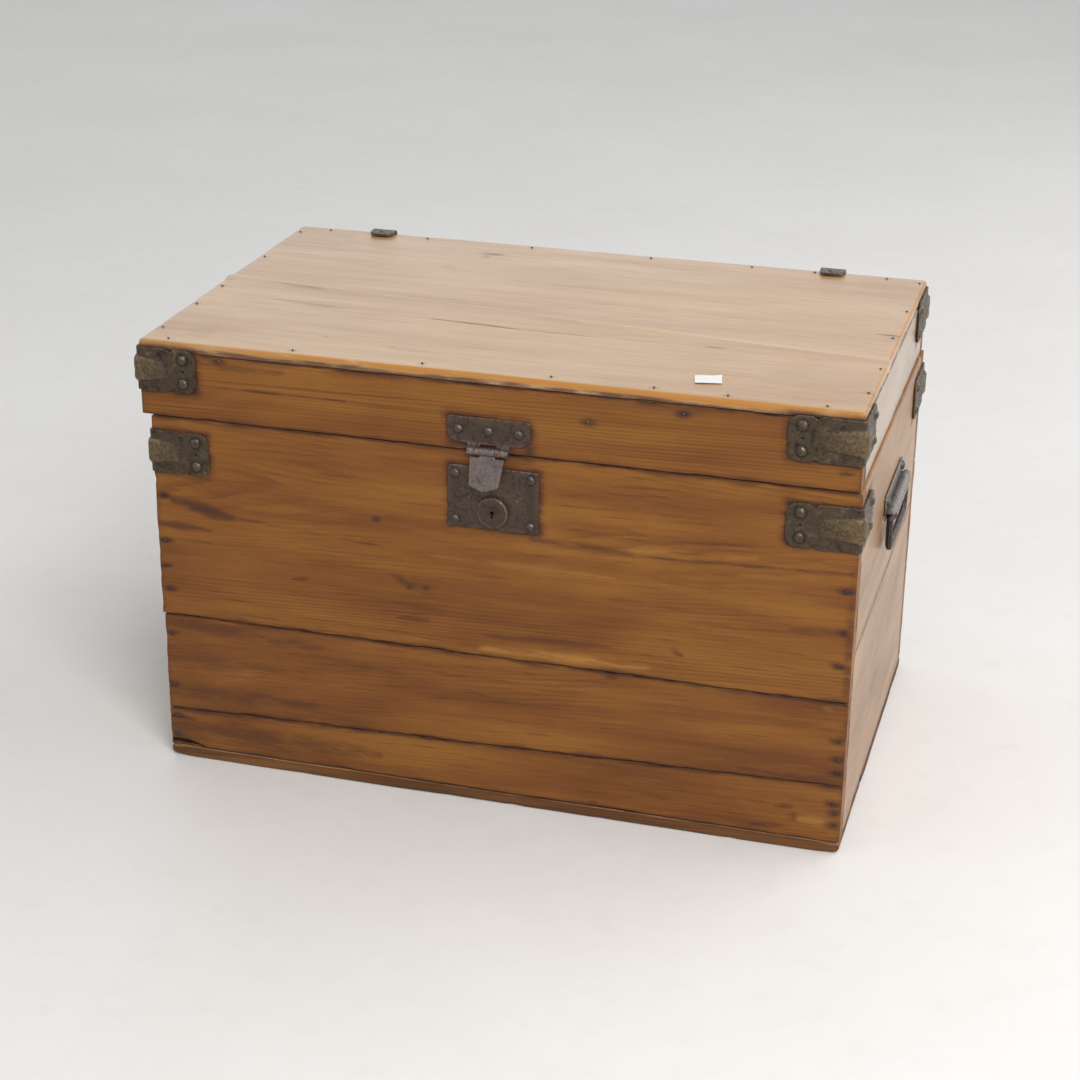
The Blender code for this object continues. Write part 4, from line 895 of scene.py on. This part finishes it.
def caps_mesh(name, places, radius, height, grid):
    """One mesh with a dome at every (place, way)."""
    points, faces, start = [], [], 0
    for number, (place, way) in enumerate(places):
        local, quads = cap(radius, height, *grid, number + CAP_SEED)
        frame_here = np.array(facing(place, way))
        points.append(local @ frame_here[:3, :3].T + frame_here[:3, 3])
        faces += [tuple(start + i for i in face) for face in quads]
        start += len(local)
    return mesh_from(name, np.concatenate(points), faces)


def dome_nails(material):
    """The dome nails of hasp, lock and handles, on the surface that their nodes sit on."""
    ways = {"hasp": FRONT, "lock": FRONT, "left": LEFT, "right": RIGHT}
    for node in [name for name in NODES if "_nail_" in name]:
        way = Vector(ways[node.split("_")[0]])
        low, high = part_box(node)
        tip = Vector([max(a * w, b * w) * w if w else (a + b) / 2 for a, b, w in zip(low, high, way)])
        foot = tip - way * DOME_HEIGHT
        mesh = caps_mesh(f"{node}_dome", [(foot, way)], DOME_RADIUS, DOME_HEIGHT, DOME_GRID)
        mark_wear(mesh)
        stand_in(add_object(f"{node}_dome", mesh), material, node)


# Corner irons

def leaf_lines(length):
    """(distance from the corner, inset from the end) of a leaf's upright lines, from its end inwards."""
    insets = np.concatenate((
        np.linspace(0, IRON_HEAD_ROUND, IRON_HEAD_LINES) ** 1.6 / IRON_HEAD_ROUND ** 0.6,
        np.linspace(IRON_HEAD_ROUND, length - IRON_CORNER, IRON_LEAF_LINES)[1:],
    ))
    return [(length - inset, inset) for inset in insets]


def iron_lines():
    """Upright lines of the sheet's inner face, from the long leaf's end to the short leaf's end.

    Each has its place, the way it faces, its distance from the corner, its inset and its leaf's length.
    """
    lines = [((-u, -GAP), (0, -1), u, inset, IRON_LONG) for u, inset in leaf_lines(IRON_LONG)]
    reach = IRON_CORNER + GAP
    for step in range(1, IRON_CORNER_LINES):
        angle = -math.pi / 2 + math.pi / 2 * step / IRON_CORNER_LINES
        x, y = math.cos(angle), math.sin(angle)
        lines.append(((-IRON_CORNER + reach * x, IRON_CORNER + reach * y), (x, y), 0.0, IRON_LONG, IRON_LONG))
    short = leaf_lines(IRON_SHORT)[::-1]
    return lines + [((GAP, u), (1, 0), u, inset, IRON_SHORT) for u, inset in short]


def iron_half(inset):
    """Half the sheet's height this far in from a leaf's end."""
    half = IRON_HEIGHT / 2
    if inset < IRON_HEAD_ROUND:
        drop = IRON_HEAD_ROUND - inset
        return half - IRON_HEAD_ROUND + math.sqrt(max(IRON_HEAD_ROUND ** 2 - drop ** 2, 0))
    notch = min(1.0, abs(inset - IRON_WAIST_INSET) / IRON_WAIST_HALF)
    return half - IRON_WAIST * math.cos(notch * math.pi / 2) ** 2


def iron_sheet():
    """The sheet with its pressed hood, still without thickness."""
    points, faces, raised, foot = [], [], [], []
    levels = np.linspace(-1, 1, IRON_ROWS)
    for (x, y), (out_x, out_y), u, inset, length in iron_lines():
        half = iron_half(inset)
        heights = half * levels
        fade = float(np.interp(u / (length - IRON_HEAD), *IRON_FADE))
        shrink = 0.55 + 0.45 * fade
        crest, hood = min(IRON_CREST * shrink, 0.5 * half), min(IRON_HOOD * shrink, 0.8 * half)
        rise = 1 - ease(np.abs(heights), crest, hood)
        oval = 1 - ((u - IRON_LENS_PLACE) / IRON_LENS_HALF[0]) ** 2 - (heights / IRON_LENS_HALF[1]) ** 2
        lift = IRON_BULGE * fade * rise + IRON_LENS * np.clip(oval, 0, 1) ** 0.7
        points += [(x + out_x * out, y + out_y * out, height) for height, out in zip(heights, lift)]
        # The hood's crest, made brassy in the material: rubbed metal with a painted highlight
        raised += list(fade * rise)
        # A band at the hood's foot, darkened in the material as painted shade
        foot += list(0.8 * fade * ease(rise, 0.0, 0.03) * (1 - ease(rise, 0.15, 0.5)))
    for near in range(len(points) - IRON_ROWS):
        far = near + IRON_ROWS
        if far % IRON_ROWS < IRON_ROWS - 1:
            faces.append((near, far, far + 1, near + 1))
    marks = {"raised": np.array(raised), "foot": np.array(foot)}
    return add_object("iron", mesh_from("iron", points, faces, marks))


def iron_mesh():
    """One corner iron with a pressed hood, spare holes and its four dome nails."""
    obj = iron_sheet()
    modify(obj, "SOLIDIFY", thickness=IRON_SHEET, offset=1.0)
    surface = GAP + IRON_SHEET
    heads = (
        ((IRON_NAIL_INSET - IRON_LONG, -surface), FRONT),
        ((surface, IRON_SHORT - IRON_NAIL_INSET), RIGHT),
    )
    drills = []
    for (x, y), way in heads:
        bm = bmesh.new()
        bmesh.ops.create_cone(
            bm, cap_ends=True, segments=14, radius1=IRON_HOLE, radius2=IRON_HOLE, depth=DRILL)
        drill = add_object("drill", finished("drill", bm))
        drill.matrix_world = facing((x, y, 0), way)
        modify(obj, "BOOLEAN", operation="DIFFERENCE", object=drill)
        drills.append(drill)
    modify(obj, "BEVEL", width=IRON_RIM, segments=2, limit_method="ANGLE", angle_limit=IRON_RIM_BEND)
    apply_modifiers(obj)
    nails = [((x, y, z), way) for (x, y), way in heads for z in (-IRON_NAIL_RISE, IRON_NAIL_RISE)]
    bm = bmesh.new()
    bm.from_mesh(obj.data)
    bm.from_mesh(caps_mesh("iron_domes", nails, DOME_RADIUS, DOME_HEIGHT, DOME_GRID))
    mesh = finished("iron", bm)
    dome = np.arange(len(mesh.vertices)) >= len(obj.data.vertices)
    add_value(mesh, "dome", dome)
    # Dirt and painted shade round the feet of the dome nails
    add_value(mesh, "ring", dirt_and_shade_round(vertex_values(mesh)[0], [place for place, _ in nails]) * ~dome)
    for spare in (obj, *drills):
        bpy.data.objects.remove(spare)
    mesh.shade_smooth()
    return mesh


def corner_irons(material):
    """The iron at all eight corners, each one beaten a little differently."""
    base = iron_mesh()
    levels = (("lid", "lid_front_rail", "lid_back_rail"), ("case", "front_board_top", "back_board_top"))
    for level, front_node, back_node in levels:
        low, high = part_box(front_node)
        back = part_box(back_node)[1].y
        corners = (("front_right", high.x, low.y), ("back_right", high.x, back),
                   ("back_left", low.x, back), ("front_left", low.x, low.y))
        for turns, (corner, x, y) in enumerate(corners):
            node = f"{level}_iron_{corner}"
            iron_low, iron_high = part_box(node)
            place = Matrix.Translation((x, y, (iron_low.z + iron_high.z) / 2))
            place = place @ Matrix.Rotation(turns * math.pi / 2, 4, "Z")
            mesh = base.copy()
            mesh.transform(place)
            beat(mesh, IRON_SEED_STEP * turns + len(level))
            mark_wear(mesh)
            stand_in(add_object(f"{node}_pressed", mesh), material, node)


# Values and wear of meshes

def vertex_values(mesh):
    """Places and normals of a mesh's vertices."""
    values = np.empty((2, 3 * len(mesh.vertices)), np.float32)
    mesh.vertices.foreach_get("co", values[0])
    mesh.vertex_normals.foreach_get("vector", values[1])
    return values.reshape(2, -1, 3)


def add_value(mesh, name, values):
    """Notes a number or a vector for each vertex, for the material."""
    kind, field = ("FLOAT", "value") if values.ndim == 1 else ("FLOAT_VECTOR", "vector")
    layer = mesh.attributes.new(name, kind, "POINT")
    layer.data.foreach_set(field, values.astype(np.float32).ravel())


def dirt_and_shade_round(points, places):
    """Dirt and painted shade on a sheet round the foot of each dome nail."""
    total = np.zeros(len(points))
    for place in places:
        away = np.linalg.norm(points - np.array(place), axis=1)
        total = np.maximum(total, 1 - ease(away, 1.05 * DOME_RADIUS, 1.65 * DOME_RADIUS))
    return total


def beat(mesh, seed):
    """Small lumps, outwards only."""
    points, normals = vertex_values(mesh)
    lump = LUMP * noise(points, LUMP_SIZE, seed) + GRIT * noise(points, GRIT_SIZE, seed + 5)
    mesh.vertices.foreach_set("co", (points + normals * lump[:, None]).astype(np.float32).ravel())
    mesh.update()


def mark_wear(mesh, nails=()):
    """Notes where a mesh bends outwards, to be rubbed bright, and inwards, to stay dark, and round nails,
    where dirt and painted shade make it dark.
    """
    points, normals = vertex_values(mesh)
    ends = np.empty(len(mesh.edges) * 2, np.int32)
    mesh.edges.foreach_get("vertices", ends)
    first, second = ends.reshape(-1, 2).T
    run = points[second] - points[first]
    run /= np.maximum(np.linalg.norm(run, axis=1, keepdims=True), 1e-9)
    bend, count = np.zeros(len(points)), np.zeros(len(points))
    np.add.at(bend, first, -(normals[first] * run).sum(1))
    np.add.at(bend, second, (normals[second] * run).sum(1))
    np.add.at(count, ends, 1)
    bend /= np.maximum(count, 1)
    add_value(mesh, "edge", ease(bend, 0.09, 0.30))
    add_value(mesh, "hollow", np.maximum(ease(-bend, 0.06, 0.25), dirt_and_shade_round(points, nails)))


# Other ironwork

def softened(node, width, material):
    """A copy of a fitting whose sharp edges are rounded by wear."""
    bm = bmesh.new()
    bm.from_mesh(NODES[node].data)
    bmesh.ops.remove_doubles(bm, verts=bm.verts, dist=WELD)
    bmesh.ops.dissolve_limit(bm, angle_limit=FLAT, verts=bm.verts, edges=bm.edges)
    mesh = finished(f"{node}_worn", bm)
    mesh.shade_smooth()
    obj = add_object(f"{node}_worn", mesh)
    modify(obj, "BEVEL", width=width, segments=3, limit_method="ANGLE", angle_limit=EDGE_BEND)
    modify(obj, "WEIGHTED_NORMAL", keep_sharp=False)
    apply_modifiers(obj)
    # Dirt and painted shade lie round a plate's nails, or in the middle of a fitting that has none
    stem = node.replace("plate", "nail_")
    dirt_and_shade_centres = [sum(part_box(other), Vector()) / 2 for other in NODES if other.startswith(stem)]
    mark_wear(obj.data, dirt_and_shade_centres)
    stand_in(obj, material, node)


def label(material):
    """A small blank paper label stuck to the lid, one corner lifting."""
    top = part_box("lid_top_front")[1].z
    lines = np.linspace(0, 1, LABEL_LINES)
    points, faces = shell([lines, lines, np.array((0.0, 1.0))])
    curl = LABEL_CURL * np.maximum(points[:, 0] + points[:, 1] - LABEL_FLAT, 0) ** 2
    points = (points - (0.5, 0.5, 0.0)) * (*LABEL_SIZE, LABEL_THICK)
    points[:, 2] += curl + LABEL_RISE
    mesh = flat_mesh("label", points, faces)
    mesh.transform(Matrix.Translation((*LABEL_CENTRE, top)) @ Matrix.Rotation(LABEL_TURN, 4, "Z"))
    obj = add_object("label", mesh)
    obj.data.materials.append(material)
    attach(obj, "lid")


# Stage

def lay_floor():
    """A pale, uneven floor just below the box."""
    tree = Tree(bpy.data.materials.new("floor"))
    place = tree.place()
    wide = tree.noise(place, 2.2, 5.0, 0.6)
    small = tree.noise(place, 26.0, 4.0, 0.6)
    colour = tree.mix(tree.fit(small, 0.5, 0.8, 0.0, 0.12), tree.ramp(wide, FLOOR_TONES), FLOOR_SPECK)
    material = tree.shade(Base_Color=colour, Roughness=0.6, Normal=tree.bump(small, 0.0008))
    bm = bmesh.new()
    bmesh.ops.create_grid(bm, x_segments=2, y_segments=2, size=FLOOR_SIZE)
    floor = add_object("floor", finished("floor", bm))
    floor.location.z = -FLOOR_DROP
    floor.data.materials.append(material)


def light_sky():
    """Soft light from all round, paler where it is seen or mirrored."""
    tree = Tree(bpy.data.worlds.new("studio"), "Background")
    direct, glossy, through = [tree.node("LightPath", {}, f"Is {kind} Ray") for kind in SEEN_RAYS]
    seen = tree.most(tree.most(direct, glossy), through)
    bpy.context.scene.world = tree.shade(Color=SKY, Strength=tree.fit(seen, 0.0, 1.0, SKY_LIGHT, SKY_SEEN))


def lamp(name, place, size, power):
    """A square lamp that shines on the box and isn't seen itself."""
    data = bpy.data.lights.new(name, "AREA")
    data.shape = "SQUARE"
    data.size = size
    data.energy = power
    obj = add_object(name, data)
    way = LAMP_AIM - Vector(place)
    obj.matrix_world = Matrix.Translation(place) @ way.to_track_quat("-Z", "Y").to_matrix().to_4x4()
    obj.visible_camera = False


def stage():
    """Floor, soft light from all round and two large lamps."""
    lay_floor()
    light_sky()
    for settings in LAMPS:
        lamp(*settings)


def camera():
    """The camera that took the photo."""
    data = bpy.data.cameras.new("photo")
    data.sensor_width = CAMERA_SENSOR
    data.lens = CAMERA_LENS
    data.shift_y = CAMERA_SHIFT
    obj = add_object("photo", data)
    turn = Matrix.Rotation(CAMERA_TURN, 4, "Z")
    tilt = Matrix.Rotation(math.pi / 2 - CAMERA_TILT, 4, "X")
    roll = Matrix.Rotation(CAMERA_ROLL, 4, "Z")
    obj.matrix_world = Matrix.Translation(CAMERA_PLACE) @ turn @ tilt @ roll
    bpy.context.scene.camera = obj
    bpy.context.scene.view_settings.view_transform = "Standard"


# The box

def woodwork(case_nails, lid_nails):
    """All boards, each in the pine of its place."""
    outer_pine = pine("pine_outer", SIDE_PINE, 0.40, 0.42, 0.0)
    end_pine = pine("pine_end", END_PINE, 0.42, 0.38, 0.46)
    lid_right_sheen_pine = pine("pine_lid_right_sheen", LID_RIGHT_SHEEN_PINE, 0.38, 0.34, 1.0)
    top_pine = pine("pine_lid_top", TOP_PINE, 0.24, 0.30, 0.9)
    low_pine = pine("pine_floor", LOW_PINE, 0.62, 0.55, 0.0)
    by_slot = {"pine": outer_pine, "pine_top": top_pine, "pine_bottom": low_pine}
    irons = [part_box(node) for node in NODES if "iron" in node or node in ("lock_plate", "hasp_plate")]
    for number, node in enumerate(sorted(n for n, slot in SLOT_OF.items() if slot in by_slot)):
        finish = by_slot[SLOT_OF[node]]
        # The lid's right rail is paler and greyer than the left: painted sheen
        if node == "lid_right_rail":
            finish = lid_right_sheen_pine
        elif "_end_" in node or node == "lid_left_rail":
            finish = end_pine
        nails = lid_nails if node.startswith("lid") else case_nails
        board = timber(node, FIRST_SEED + SEED_STEP * number, nails, irons, finish)
        if node == "front_board_top":
            lock_recess(board)


def ironwork(case_nails, lid_nails):
    """Nails, corner irons and fittings, each in the metal of its slot or in one of its own."""
    metals = {
        "corner_iron": metal("corner_iron", CORNER_METAL, 0.55, 0.46, mottle=0.5),
        "dark_iron": metal("dark_iron", DARK_METAL, 0.6, 0.48),
        "worn_steel": metal("worn_steel", WORN_METAL, 0.7, 0.42, mottle=0.4),
        "nail_steel": metal("nail_steel", NAIL_METAL, 0.75, 0.32),
        "bail_iron": metal("bail_iron", BAIL_METAL, 0.6, 0.42),
    }
    hasp = metal("hasp_iron", DARK_METAL, 0.6, 0.48, rubbed_below=HASP_TAB)
    # Handle plates in pale greys: painted sheen
    handle_sheen = metal("handle_sheen_iron", HANDLE_SHEEN_METAL, 0.65, 0.34)
    nail_rows = (
        ("case", case_nails, CASE_NAIL_RADIUS, metals["bail_iron"]),
        ("lid", lid_nails, LID_NAIL_RADIUS, metals["worn_steel"]),
    )
    for body, nails, radius, finish in nail_rows:
        mesh = caps_mesh(f"{body}_board_nails", nails, radius, NAIL_HEIGHT, NAIL_GRID)
        detail(add_object(f"{body}_board_nails", mesh), finish, body, "nail_steel")
    corner_irons(metals["corner_iron"])
    dome_nails(metals["nail_steel"])
    widths = dict(EDGE_WEAR)
    for side in ("left", "right"):
        widths.update({f"{side}_{piece}": width for piece, width in PAIR_EDGE_WEAR.items()})
    special = {"hasp_plate": hasp, "left_handle_plate": handle_sheen, "right_handle_plate": handle_sheen}
    for node, width in widths.items():
        softened(node, width, special.get(node, metals[SLOT_OF[node]]))
    for node in ("lock_case", "lock_bolt", "hasp_pin", "left_hinge_pin", "right_hinge_pin"):
        NODES[node].data.materials[0] = metals[SLOT_OF[node]]


def build():
    """The box with all that the scene adds to it."""
    case_nails, lid_nails = board_nails()
    woodwork(case_nails, lid_nails)
    ironwork(case_nails, lid_nails)
    label(paper("label_paper"))


build()
stage()
camera()
